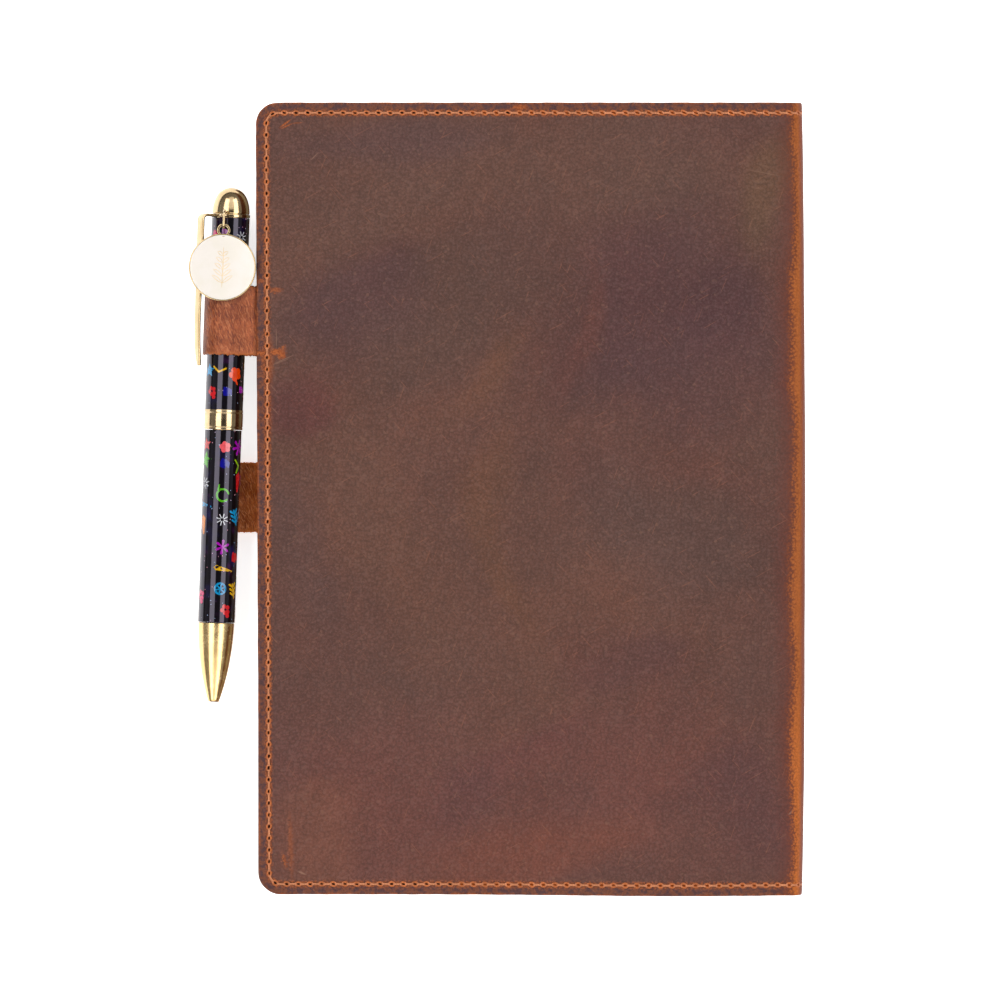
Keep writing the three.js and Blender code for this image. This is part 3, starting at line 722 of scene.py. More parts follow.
# Painted shade inside the needle holes: dark for an empty hole, a darkened thread colour for the
# thread in it.
HOLE_SHADE = hole_shade_material("needle_hole_painted_shade", seen(40, 14, 10), seen(64, 26, 16))
LAID_THREAD_SHADE = hole_shade_material("thread_in_hole_painted_shade", seen(140, 70, 42), seen(176, 96, 58))
CARD = card_material()
PAPER_PAINTED_LIGHT = paper_material(False)
PAPER_RULED = paper_material(True)
GOLD = metal_material("gold_plate", srgb(218, 188, 136), srgb(208, 174, 120), 0.2)
PALE_GOLD = metal_material("pale_gold_plate", srgb(188, 166, 130), srgb(172, 149, 112), 0.12)
CHAMPAGNE = metal_material(
    "champagne_plate", srgb(196, 190, 184), srgb(193, 187, 178), 0.55, 0.03
)
# The sprig's plate is darker and more golden than the medal's face: painted shade on its raised
# lines.
CHASED_SHADE = metal_material("chased_plate_painted_shade", srgb(202, 182, 152), srgb(190, 168, 136), 0.35)
BRASS = metal_material("bare_brass", srgb(206, 170, 96), srgb(176, 136, 66), 0.3, brushed=0.01)
STEEL = metal_material("refill_steel", srgb(196, 198, 202), srgb(168, 170, 176), 0.3, brushed=0.01)
LACQUER = lacquer_material()

# ---- The hide -----------------------------------------------------------------------------------


def inset_of(e, y):
    """Distance inwards from the cut edge, at e from the fore edge and y from the middle."""
    tall = np.abs(y) - (HALF - CORNER)
    corner = (e < CORNER) & (tall > 0)
    rounded = CORNER - np.hypot(CORNER - e, np.maximum(tall, 0))
    return np.where(corner, rounded, np.minimum(e, HALF - np.abs(y)))


def fore_lean(e, y):
    """How far the fore edge leans, which fades out over 90 mm."""
    return 0.45 * (y / HALF) * np.clip(1 - e / 90, 0, 1)


def hide_point(e, y, lift, side):
    """A point on the hide. side is 1 for the back half and -1 for the front half below it."""
    e, y, lift = np.broadcast_arrays(np.asarray(e, float), y, lift)
    along = DEVELOPED - e
    turn = np.clip((along - RISE) / FOLD, 0, math.pi / 2)
    flat = np.maximum(0, along - RISE - FOLD * math.pi / 2)
    drop = np.maximum(0, RISE - along)
    bulge = 0.4 - 0.9 * (y / HALF) ** 2
    x = SPINE - FOLD - flat + (FOLD + lift + bulge) * np.cos(turn)
    z = TOP - FOLD - drop + (FOLD + lift) * np.sin(turn)
    x = x - fore_lean(e, y)
    sag = 0.55 * np.exp(-(((x - 42) / 42) ** 2)) * np.clip((-y - 50) / 60, 0, 1) ** 2
    y = y - sag
    if side < 0:
        z = TOP - z
    return np.stack([x, y, z], -1)


def relief(e, y, inset):
    """Height of the grain side: rolled edges, a sunken seam and soft waves."""
    seam = -0.20 * np.exp(-(((inset - SEAM) / 0.6) ** 2))
    rolled = -0.10 * np.exp(-((inset / 1.0) ** 2))
    waves = 0.10 * np.sin(e / 17 + 1.3 * np.sin(y / 31)) * np.sin(y / 23 + 0.8 * np.sin(e / 29))
    ripple = 0.035 * np.sin(e / 5.3 + y / 9.1) * np.sin(y / 6.7 - e / 12.0)
    return seam + rolled + (waves + ripple) * np.clip(inset / 8, 0, 1)


def clouds(run, y, seed):
    """Soft random clouds over the hide, 9 to 70 mm across, with a spread of 1."""
    draws = np.random.default_rng(seed)
    waves = np.geomspace(9, 70, 40)
    total = 0
    for wave in waves:
        way, phase = draws.uniform(0, 2 * math.pi, 2)
        along = run * math.cos(way) + y * math.sin(way)
        total = total + math.sqrt(wave) * np.sin(2 * math.pi / wave * along + phase)
    return total / math.sqrt(waves.sum() / 2)


def tone_of(run, y):
    """The hide's broad tone at each point, as a base colour."""
    warp_run = 7 * np.sin(y / 19 + 1.7 * np.sin(run / 37)) + 3.2 * np.sin(run / 7.3 + y / 11)
    warp_y = 7 * np.sin(run / 21 + 1.3 * np.sin(y / 33)) + 3.2 * np.sin(y / 6.7 - run / 9)
    run, y = run + warp_run, y + warp_y
    plain, warm = np.array(seen(106, 74, 66)[:3]), np.array(seen(112, 78, 67)[:3])
    share = 0.5 + 0.5 * np.sin(run / 26 + 1.5 * np.sin(y / 31))
    tone = plain + (warm - plain) * share[:, None]
    for run_at, y_at, long, high, turn, color, strength in TONES:
        a, b = run - run_at, y - y_at
        c, d = math.cos(turn), math.sin(turn)
        reach = np.hypot((a * c + b * d) / long, (b * c - a * d) / high)
        part = np.clip((1.3 - reach) / 0.9, 0, 1)
        part = (strength * part**2 * (3 - 2 * part))[:, None]
        tone = tone * (1 - part) + np.array(seen(*color)[:3]) * part
    light, warmth = clouds(run, y, 5), clouds(run, y, 6)
    return tone * (1 + 0.035 * light[:, None] + warmth[:, None] * (0.015, -0.002, -0.02))


def hide_half(name, side):
    margin = 0.45  # the grain side stops here and the rounded cut edge starts
    turn = np.linspace(0, math.pi / 2, 19)
    columns = np.concatenate(
        [
            CORNER - (CORNER - margin) * np.cos(turn),
            np.linspace(CORNER, FOLD_START, 66)[1:],
            np.linspace(FOLD_START, FOLD_END, 17)[1:],
            np.linspace(FOLD_END, DEVELOPED, 7)[1:],
        ]
    )
    near = np.arange(0, 7.2, 0.36)
    full = HALF - margin
    middle = np.linspace(near[-1] - full, full - near[-1], 86)[1:-1]
    rows = np.concatenate([near - full, middle, (full - near)[::-1]]) / full
    reach = np.where(
        columns < CORNER,
        HALF - CORNER + np.sqrt(np.maximum((CORNER - margin) ** 2 - (CORNER - columns) ** 2, 0)),
        full,
    )
    e, v = np.meshgrid(columns, rows, indexing="ij")
    y = v * reach[:, None]
    inset = inset_of(e, y)
    count_e, count_y = e.shape

    grain_side = hide_point(e, y, relief(e, y, inset), side).reshape(-1, 3)
    flesh_side = hide_point(e, y, -LEATHER, side).reshape(-1, 3)

    rim = [(i, 0) for i in range(count_e - 1, -1, -1)]
    rim += [(0, j) for j in range(1, count_y)]
    rim += [(i, count_y - 1) for i in range(1, count_e)]
    rim_e = np.array([e[k] for k in rim])
    rim_y = np.array([y[k] for k in rim])
    out_e = np.where(rim_e < CORNER - 1e-9, rim_e - CORNER, 0.0)
    out_y = np.where(
        np.abs(rim_y) > HALF - CORNER + 1e-9, rim_y - np.sign(rim_y) * (HALF - CORNER), 0.0
    )
    on_side = rim_e > CORNER - 1e-9
    out_y = np.where(on_side, np.sign(rim_y), out_y)
    size = np.hypot(out_e, out_y)
    out_e, out_y = out_e / size, out_y / size
    frayed = 0.02 * np.sin(rim_y * 1.7 + rim_e * 1.3) + 0.03 * np.sin(rim_y * 0.41 - rim_e * 0.53)

    edge_steps = [(0.25, 0.05), (0.40, 0.20), (0.45, 0.50)]
    edge_steps += [(0.45, 1.20), (0.40, 1.60), (0.25, 1.76)]
    top_lift = relief(rim_e, rim_y, inset_of(rim_e, rim_y))
    rings, ring_depths = [], []
    for out, down in edge_steps:
        share = down / LEATHER
        lift = top_lift * (1 - share) - down
        spread = out + frayed * min(1, out / 0.4)
        rings.append(
            hide_point(rim_e + out_e * spread, rim_y + out_y * spread, lift, side)
        )
        ring_depths.append(share)

    shell = Shell()
    grid = strip_faces(count_e, count_y)
    shell.add(grain_side, grid)
    flesh_start = len(shell.points)
    shell.add(flesh_side, [face[::-1] for face in grid])
    ring_start = len(shell.points)
    shell.points.extend(np.concatenate(rings).tolist())
    top_ids = [i * count_y + j for i, j in rim]
    levels = [top_ids]
    for k in range(len(rings)):
        levels.append([ring_start + k * len(rim) + m for m in range(len(rim))])
    levels.append([flesh_start + k for k in top_ids])
    for low, high in zip(levels, levels[1:]):
        for m in range(len(rim) - 1):
            shell.faces.append((low[m], high[m], high[m + 1], low[m + 1]))
            shell.indices.append(0)

    normal = np.cross(
        grain_side[grid[0][1]] - grain_side[grid[0][0]],
        grain_side[grid[0][2]] - grain_side[grid[0][0]],
    )
    if normal[2] * side < 0:
        shell.faces = [face[::-1] for face in shell.faces]

    piece = shell.build(name, HIDE)
    run, rim_run = (e, rim_e) if side > 0 else (2 * DEVELOPED - e, 2 * DEVELOPED - rim_e)
    plain = np.column_stack([run.ravel(), y.ravel(), inset.ravel()])
    edge = np.column_stack([rim_run, rim_y, np.zeros(len(rim))])
    spots = np.concatenate([plain, plain] + [edge] * len(rings))
    add_attribute(piece, "hide", spots)
    add_attribute(piece, "tone", tone_of(*spots.T[:2]))
    depth = [np.zeros(len(plain)), np.ones(len(plain))]
    depth += [np.full(len(rim), share) for share in ring_depths]
    add_attribute(piece, "depth", np.concatenate(depth))
    return piece


# ---- Stitching ----------------------------------------------------------------------------------

PITCH = 3.25
STRAND = 0.27
EYE = 0.235  # share of the pitch from the middle of an eye to its end


def seam_line(from_e, step):
    """Points of the seam, from the head round the fore edge to the foot, with the way outwards."""
    bend = CORNER - SEAM
    tall = HALF - CORNER
    points, outs = [], []

    def straight(start, end, out):
        length = math.dist(start, end)
        for t in np.arange(0, length, step) / length:
            points.append((start[0] + (end[0] - start[0]) * t, start[1] + (end[1] - start[1]) * t))
            outs.append(out)

    def corner(sign, start):
        for t in np.arange(0, bend * math.pi / 2, step) / bend:
            out = (-math.sin(start + t), sign * math.cos(start + t))
            if sign < 0:
                out = (-math.cos(t), -math.sin(t))
            points.append((CORNER + bend * out[0], sign * tall + bend * out[1]))
            outs.append(out)

    straight((from_e, HALF - SEAM), (CORNER, HALF - SEAM), (0.0, 1.0))
    corner(1, 0.0)
    straight((SEAM, tall), (SEAM, -tall), (-1.0, 0.0))
    corner(-1, 0.0)
    straight((CORNER, SEAM - HALF), (from_e, SEAM - HALF), (0.0, -1.0))
    return np.array(points), np.array(outs)


def resample(line, outs, count):
    steps = np.r_[0, np.cumsum(np.hypot(*np.diff(line, axis=0).T))]
    at = np.linspace(0, steps[-1], count)
    line = np.column_stack([np.interp(at, steps, line[:, k]) for k in range(2)])
    outs = np.column_stack([np.interp(at, steps, outs[:, k]) for k in range(2)])
    return at, line, outs / np.linalg.norm(outs, axis=1, keepdims=True)


def stitches(name, side, from_e, place):
    """Pairs of strands that part round each needle hole and lie together between the holes."""
    line, outs = seam_line(from_e, 0.2)
    length = np.hypot(*np.diff(line, axis=0).T).sum()
    eyes = round(length / PITCH)
    per_eye = 18
    at, line, outs = resample(line, outs, eyes * per_eye + 1)
    phase = at / at[-1] * eyes
    which = np.minimum(phase.astype(int), eyes - 1)
    reach = np.clip(np.abs(phase - which - 0.5) / EYE, 0, 1)
    opened = (1 - reach**2) ** 0.75
    wide = rng.uniform(0.9, 1.1, eyes)
    drift = rng.uniform(-0.06, 0.06, eyes)
    lean = rng.uniform(-0.12, 0.12, eyes)
    head = outs[:, 1] > 0.7
    skew = np.where(head, np.interp(line[:, 0], [40, 120], [0.2, 1.0]), 0.18) + lean[which]
    tangent = np.column_stack([-outs[:, 1], outs[:, 0]])

    shell = Shell()
    strands = []
    sides = 8
    for sign in (1, -1):
        lateral = sign * (0.07 + 0.47 * wide[which] * opened) + drift[which] * opened
        spot = line + outs * lateral[:, None] + tangent * (skew * lateral * opened)[:, None]
        inset = inset_of(spot[:, 0], spot[:, 1])
        lift = relief(spot[:, 0], spot[:, 1], inset) + STRAND * 0.62
        lift += sign * 0.09 * np.cos(math.pi * phase) * (1 - opened) + 0.06 * (1 - opened)
        lift -= 0.3 * np.clip((spot[:, 0] - FOLD_START + 1) / 3, 0, 1)
        path = place(spot[:, 0], spot[:, 1], lift)
        above = place(spot[:, 0], spot[:, 1], lift + 1)
        thick = STRAND * (0.84 + 0.2 * opened)[:, None, None]
        sweep(shell, path, above - path, round_section(1.0, sides)[None] * thick)
        turns = np.tile(np.linspace(0, 2 * math.pi, sides, endpoint=False), len(path))
        strands.append(np.column_stack([np.repeat(at, sides), turns, np.repeat(opened, sides)]))
    piece = shell.build(name, THREAD)
    add_attribute(piece, "strand", np.concatenate(strands))

    # Plugs set into the needle holes are painted shade: dark ones stand for the empty hole, and
    # past about 58 mm from the fore edge a darkened thread colour stands for the thread in the
    # hole.
    hole_shade_plugs = Shell()
    angles = np.linspace(0, 2 * math.pi, 10, endpoint=False)
    for k in range(eyes):
        middle = k * per_eye + per_eye // 2
        out, along = outs[middle], tangent[middle]
        filled = line[middle, 0] > 58 + rng.uniform(-14, 14)
        rise, run = np.sin(angles)[:, None], np.cos(angles)[:, None]
        size = 0.42  # radius of a hole
        ring = line[middle] + out * size * rise + along * size * (run + skew[middle] * rise)
        rows = [place(ring[:, 0], ring[:, 1], np.full(10, lift)) for lift in (-0.9, -0.12)]
        faces = strip_faces(2, 10, wrap_columns=True)
        faces += [tuple(range(10)), tuple(range(19, 9, -1))]
        hole_shade_plugs.add(np.concatenate(rows), faces, 1 if filled else 0)
    return piece, hole_shade_plugs.build(name + "_hole_shades", [HOLE_SHADE, LAID_THREAD_SHADE])


def bend_over(piece, side):
    """Bakes the piece's placing into its mesh, the same for either side."""
    if side > 0:
        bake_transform(piece)
    else:
        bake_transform(piece)


for side, half in ((1, "back"), (-1, "front")):
    hide = hide_half(half + "_hide", side)
    thread, hole_shades = stitches(
        half + "_stitching", side, DEVELOPED, lambda e, y, lift, s=side: hide_point(e, y, lift, s)
    )
    for piece in (hide, thread, hole_shades):
        bend_over(piece, side)
    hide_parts(half + "_cover_leather", "spine_leather")
    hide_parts(half + "_seam_thread", "spine_thread_head", "spine_thread_foot")

# ---- Pockets, notebook --------------------------------------------------------------------------


def pocket_lining(half, side):
    """The pocket's thin sheet, and its thicker sewn border, open at the strap's tail."""
    node = half + "_inner_pocket"
    right = extent(node, 0)[1]
    low, high = extent(node, 2)
    sheet = 1.2  # thickness of the part that lies on the card
    width = 4.0  # of the border
    strap_at = 49.6 if side > 0 else 0.3
    strap_room = 10.4
    inner = (low, low + sheet) if side > 0 else (high - sheet, high)
    border = (inner[1], high) if side > 0 else (low, inner[0])

    def corner_line(inset, sign):
        rim = panel_outline(FORE + inset, right, HALF - inset, CORNER - inset)
        return [*rim[1:11]] if sign > 0 else [*rim[11:], rim[0]]

    shell = Shell()
    outline = panel_outline(FORE, right, HALF, CORNER)
    outline[:, 0] -= fore_lean(outline[:, 0] - FORE, outline[:, 1])
    plate(shell, offset_outline(outline, -0.15), rounded_levels(*inner, 0.3))
    for sign in (-1, 1):
        end = strap_at + sign * strap_room
        ends = [(FORE, end), (FORE + width, end)]
        line = [*corner_line(0, sign), *corner_line(width, sign)[::-1]]
        if sign < 0:
            line = [ends[0], *line, ends[1]]
        else:
            line[10:10] = ends
        line = np.array(line)
        keep = np.r_[True, np.hypot(*np.diff(line, axis=0).T) > 1e-6]
        plate(shell, offset_outline(line[keep], -0.2), [(border[0], 0), (border[1], 0)])
    piece = shell.build(half + "_pocket_lining", LINING, sharp=50)
    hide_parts(node)
    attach(piece, half + "_cover")


def inner_stitches(half, side):
    """The same seam on the pocket's face, where only the inner strand shows."""
    face = extent(half + "_inner_pocket", 2)[0 if side > 0 else 1]
    mouth = extent(half + "_inner_pocket", 0)[1] - FORE

    def place(e, y, lift):
        x = FORE + e - fore_lean(e, y)
        return np.stack([x, y, face - side * (lift * 0.8 + 0.05)], -1)

    thread, hole_shades = stitches(half + "_inner_stitching", side, mouth - 0.6, place)
    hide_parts(half + "_inner_thread")
    for piece in (thread, hole_shades):
        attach(piece, half + "_cover")


def slab(name, node, bevel, material, corner=0.0):
    """A flat sheet with rounded rims in a node's place, with rounded or square fore corners."""
    (left, right), (_, tall) = extent(node, 0), extent(node, 1)
    outline = np.array([(left, -tall), (right, -tall), (right, tall), (left, tall)])
    if corner:
        outline = panel_outline(left, right, tall, corner)
    shell = Shell()
    plate(shell, outline, rounded_levels(*extent(node, 2), bevel))
    return shell.build(name, material, sharp=50)


def book_block():
    """Two cards, a spine strip, two pasted ends and six signatures of loose leaves."""
    leaves = 16
    corner = 2.5
    for number in range(1, 7):
        node = f"page_signature_{number}"
        (left, right), (_, half) = extent(node, 0), extent(node, 1)
        low, high = extent(node, 2)
        leaf = (high - low) / leaves
        levels = []
        for k in range(leaves):
            sway = 0.04 * math.sin(k * 2.4 + number)
            levels.append((low + k * leaf + 0.012, -0.09))
            levels.append((low + k * leaf + 0.03, sway - 0.03))
            levels.append((low + (k + 1) * leaf - 0.02, sway - 0.03))
        levels.append((high, -0.09))
        shell = Shell()
        plate(shell, panel_outline(left, right, half, corner, 5), levels, (0, 1))
        piece = shell.build(f"leaves_{number}", [PAPER_PAINTED_LIGHT, PAPER_RULED], smooth=False)
        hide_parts(node)
        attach(piece, "front_cover" if number <= 3 else "pages_upper")
    for half in ("front", "back"):
        card = slab(f"{half}_card", f"notebook_{half}_card", 0.2, CARD, corner)
        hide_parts(f"notebook_{half}_card")
        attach(card, half + "_cover")
        sheet = slab(f"{half}_pasted_leaf", half + "_pastedown", 0.08, PAPER_PAINTED_LIGHT)
        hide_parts(half + "_pastedown")
        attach(sheet, half + "_cover")
    strip = slab("notebook_spine", "notebook_spine_strip", 0.25, CARD)
    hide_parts("notebook_spine_strip")
    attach(strip, "spine")


for side, half in ((1, "back"), (-1, "front")):
    pocket_lining(half, side)
    inner_stitches(half, side)
book_block()

# ---- Pen loops ----------------------------------------------------------------------------------


def strap(name, line, width, thickness, place, tail, material):
    """A folded strap: a line of [across, up] points, carried to full width with soft creases."""
    line = np.asarray(line, float)
    steps = np.r_[0, np.cumsum(np.hypot(*np.diff(line, axis=0).T))]
    count = int(steps[-1] / 0.45)
    at = np.linspace(0, steps[-1], count)
    line = np.column_stack([np.interp(at, steps, line[:, k]) for k in range(2)])
    way = np.gradient(line, axis=0)
    way /= np.linalg.norm(way, axis=1, keepdims=True)
    out = np.column_stack([-way[:, 1], way[:, 0]])

    across = np.concatenate(
        [[0.0, 0.10, 0.28], np.linspace(0.5, width - 0.5, 44), [width - 0.28, width - 0.10, width]]
    ) - width / 2
    edge = width / 2 - np.abs(across)
    inward = np.clip(edge / 0.5, 0, 1)
    round_off = 0.5 * thickness * (1 - np.sqrt(np.clip(1 - (1 - inward) ** 2, 0, 1)))
    u = np.concatenate([across, across[::-1]])
    half = np.concatenate([0.5 * thickness - round_off, -(0.5 * thickness - round_off)[::-1]])
    edges = np.concatenate([edge, edge[::-1]])
    outer = np.r_[np.ones(len(across)), np.zeros(len(across))]

    thin = np.clip(np.minimum(at, at[-1] - at) / tail, 0, 1)
    thin = 0.46 + 0.54 * thin**2 * (3 - 2 * thin)
    lean = u[None] * 0.42 + at[:, None] * 0.9
    crease = 0.07 * np.sin(lean * 3.1 + 1.4 * np.sin(u[None] * 0.9 + at[:, None] * 0.5))
    crease += 0.05 * np.sin(lean * 5.3 - u[None] * 0.8)
    crease *= outer[None] * np.clip(edges / 1.2, 0, 1)[None] * (thin[:, None] - 0.46)
    height = half[None] * thin[:, None] + crease
    ragged = 0.15 * np.sin(at * 2.3) + 0.13 * np.sin(at * 5.9 + 1)
    shift = ragged[:, None] * np.sign(u)[None] * np.clip(1 - edges / 0.6, 0, 1)[None]
    points = np.stack(
        [
            line[:, :1] + out[:, :1] * height,
            np.broadcast_to(u, height.shape) + shift,
            line[:, 1:] + out[:, 1:] * height,
        ],
        -1,
    )
    rows, columns = height.shape
    faces = strip_faces(rows, columns, wrap_columns=True)
    faces += [tuple(range(columns)), tuple(reversed(range((rows - 1) * columns, rows * columns)))]
    shell = Shell()
    shell.add(place(points.reshape(-1, 3)), faces)
    piece = shell.build(name, material, sharp=60)
    marks = np.stack(
        [
            np.broadcast_to(u, height.shape),
            np.broadcast_to(at[:, None], height.shape),
            np.broadcast_to(edges, height.shape),
        ],
        -1,
    )
    add_attribute(piece, "strap", marks.reshape(-1, 3))
    return piece


def arc_points(centre, radius, start, end, steps=40):
    angles = np.linspace(start, end, steps)
    return np.column_stack(
        [centre[0] + radius * np.cos(angles), centre[1] + radius * np.sin(angles)]
    )


def upper_loop():
    middle = 6.03  # centre of the strap's thickness to the pen's axis
    station = 106.3
    width = 19.4
    edge = 8.1
    tail_end = 12.1
    tail = 3.45  # height of the tail above the pen's axis
    gap = 0.24
    near = np.array([edge, tail])
    reach = np.linalg.norm(near)
    first = math.atan2(tail, edge) + math.acos(middle / reach)
    last = math.atan2(tail, edge) - math.acos(middle / reach) + 2 * math.pi
    ring = arc_points((0, 0), middle, first, last, 70)
    upper = [(tail_end, tail + gap), (edge, tail + gap), ring[0]]
    lower = [ring[-1], (edge, tail - gap), (tail_end, tail - gap)]
    line = fillet(upper, 1.0)[:-1] + list(ring[1:-1]) + fillet(lower, 1.0)[1:]

    def place(points):
        points = points.copy()
        points[:, 1] += station
        return pen_to_row(points)

    piece = strap("upper_loop", line, width, 0.95, place, 4.0, STRAP)
    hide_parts("upper_pen_loop")
    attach(piece, "back_cover")


def lower_loop():
    low, high = extent("lower_pen_loop", 2)
    left, right = extent("lower_pen_loop", 0)
    foot, head = extent("lower_pen_loop", 1)
    middle = (low + high) / 2
    radius = (high - low) / 2 - 0.5
    bend = left + 0.5 + radius
    shoulder = FORE - 4.6
    tail = 2.3
    gap = 0.22
    upper = [(right, tail + gap), (FORE - 0.6, tail + gap), (shoulder + 1.2, middle + radius)]
    lower = [(shoulder + 1.0, middle - radius), (FORE - 0.6, tail - gap), (right, tail - gap)]
    ring = arc_points((bend, middle), radius, math.pi / 2, 1.5 * math.pi, 30)
    line = fillet([*upper, (bend, middle + radius)], 2.0, 6)[:-1]
    line += list(ring)
    line += fillet([(bend, middle - radius), *lower], 2.0, 6)[1:]

    def place(points):
        return points + np.array([0, (foot + head) / 2, 0])

    piece = strap("lower_loop", line, head - foot, 0.95, place, 3.0, LOWER_STRAP_PAINTED_LIGHT)
    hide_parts("lower_pen_loop")
    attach(piece, "front_cover")


upper_loop()
lower_loop()

# ---- Pen ----------------------------------------------------------------------------------------

BARREL_START = 81.45
COLLAR = 134.85
CAP = 135.75
TIP_RADIUS = 1.56
NOSE = 22.05
BORE = 4.5


def turned_piece(name, outline, material, body, nodes):
    shell = Shell()
    turn(shell, outline, around_pen)
    piece = shell.build(name, material, sharp=35)
    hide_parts(*nodes)
    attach(piece, body)
    return piece


def bezier(a, b, c, d, steps=24):
    t = np.linspace(0, 1, steps)[:, None]
    a, b, c, d = (np.array(p, float) for p in (a, b, c, d))
    curve = (1 - t) ** 3 * a + 3 * t * (1 - t) ** 2 * b + 3 * t**2 * (1 - t) * c + t**3 * d
    return [tuple(p) for p in curve]


def ring_outline(outer, inner, start, end, bevel=0.18):
    points = [
        (inner, start),
        (outer, start),
        (outer, end),
        (inner, end),
        (inner, start),
    ]
    return fillet(points, bevel)


def pen():
    nose_radius = PEN_RADIUS - 0.25
    swell = bezier(
        (TIP_RADIUS, 0.15),
        (TIP_RADIUS + 2.0, NOSE * 0.28),
        (nose_radius - 0.25, NOSE * 0.6),
        (nose_radius, NOSE - 0.5),
    )
    nose = [(1.2, 4), (1.2, 0.1), (1.3, 0.0), (TIP_RADIUS - 0.12, 0.0), *swell]
    nose += [(nose_radius, NOSE - 0.12), (nose_radius - 0.12, NOSE), (3.4, NOSE)]
    nose += [(1.9, NOSE), (1.9, 8), (1.2, 4)]
    turned_piece("nose_cone", nose, GOLD, "pen_lower", ["pen_nose_cone"])
    lower = ring_outline(PEN_RADIUS - 0.12, BORE - 0.1, NOSE + 0.12, PEN_BAND - 0.15, 0.12)
    turned_piece(
        "lower_barrel", lower, LACQUER, "pen_lower", ["pen_lower_barrel"]
    )
    upper = ring_outline(PEN_RADIUS, BORE, BARREL_START - 0.1, COLLAR - 0.1, 0.12)
    turned_piece(
        "upper_barrel", upper, LACQUER, "pen_upper", ["pen_upper_barrel"]
    )
    band = [(BORE, PEN_BAND), (PEN_RADIUS + 0.1, PEN_BAND), (PEN_RADIUS + 0.12, PEN_BAND + 0.5)]
    band += [(PEN_RADIUS + 0.02, PEN_BAND + 0.6), (PEN_RADIUS + 0.02, PEN_BAND + 0.75)]
    band += [(PEN_RADIUS + 0.12, PEN_BAND + 0.85), (PEN_RADIUS + 0.12, BARREL_START - 1.1)]
    band += [(PEN_RADIUS + 0.02, BARREL_START - 1.0), (PEN_RADIUS + 0.02, BARREL_START - 0.85)]
    band += [(PEN_RADIUS + 0.12, BARREL_START - 0.75), (PEN_RADIUS + 0.1, BARREL_START - 0.1)]
    band += [(BORE, BARREL_START - 0.1), (BORE, PEN_BAND)]
    band = fillet(band, 0.06, 2)
    turned_piece("centre_band", band, PALE_GOLD, "pen_upper", ["pen_centre_band"])
    cap_radius = PEN_RADIUS - 0.08
    dome = bezier(
        (cap_radius, CAP + 0.35),
        (cap_radius - 0.1, CAP + 4.7),
        (cap_radius * 0.62, CAP + 7.5),
        (0, CAP + 7.5),
        30,
    )
    cap = [(0, CAP - 1), (4.2, CAP - 1), (4.2, CAP + 0.1), (cap_radius - 0.15, CAP + 0.1), *dome]
    turned_piece("end_cap", cap, PALE_GOLD, "pen_upper", ["pen_end_cap"])
    point = [(0, 0.55), (0.2, 0.56), (0.34, 0.75), (0.4, 1.0), (1.05, 3.0), (1.05, 8.0)]
    point += [(1.4, 12.0), (0, 12.0)]
    turned_piece("refill_point", point, BRASS, "refill", ["refill_tip"])
    for node, material in (
        ("twist_mechanism_housing", BRASS),
        ("twist_cam", BRASS),
        ("refill_tube", STEEL),
    ):
        frame["nodes"][node].data.materials.clear()
        frame["nodes"][node].data.materials.append(material)


CLIP_ANGLE = math.radians(60)
HOOP_ACROSS = -1.6
CHARM_LEVEL = (joints["charm_lift"]["pos_m"][2] / MM) - PEN_ORIGIN[2]
HOOP_STATION = COLLAR + 0.45
SWING_STATION = HOOP_STATION - 3.55


def clip_point(radial, station, sideways=0.0):
    """A point on the clip's plane, which stands at an angle round the pen."""
    across = -radial * math.sin(CLIP_ANGLE) + sideways * math.cos(CLIP_ANGLE)
    up = radial * math.cos(CLIP_ANGLE) + sideways * math.sin(CLIP_ANGLE)
    return (across, station, up)


def clip():
    reach = PEN_RADIUS + 4.0
    arm = CAP - 0.45
    end = 93.4
    line = [(PEN_RADIUS - 0.3, arm), (reach - 1.3, arm)]
    for angle in np.linspace(0, math.pi / 2, 10)[1:]:
        line.append((reach - 1.3 + 1.3 * math.sin(angle), arm - 1.3 + 1.3 * math.cos(angle)))
    line += [(reach, station) for station in np.linspace(arm - 3, end + 20, 12)]
    bow = (reach, end + 18), (reach, end + 10), (reach - 0.2, end + 4), (reach - 1.0, end)
    line += bezier(*bow, 14)
    path = pen_to_row([clip_point(r, u) for r, u in line])
    out = pen_to_row([clip_point(1, 0)])[0] - pen_to_row([clip_point(0, 0)])[0]
    hint = np.array([PEN_AXIS if r < reach - 1e-3 and u > arm - 1.5 else out for r, u in line])
    for k, share in enumerate(np.linspace(0, 1, 9)):  # from the foot round the bend to the arm
        hint[2 + k] = (1 - share) * PEN_AXIS + share * out
    stations = np.array([u for _, u in line])
    widths = np.interp(stations, [end, end + 2.0, end + 34, arm], [1.2, 2.3, 3.2, 3.2])
    sections = np.array([box_section(width, 0.8, 0.28) for width in widths])
    shell = Shell()
    sweep(shell, path, hint, sections)
    piece = shell.build("pocket_clip", PALE_GOLD, sharp=50)
    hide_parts("pen_clip")
    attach(piece, "pen_clip")


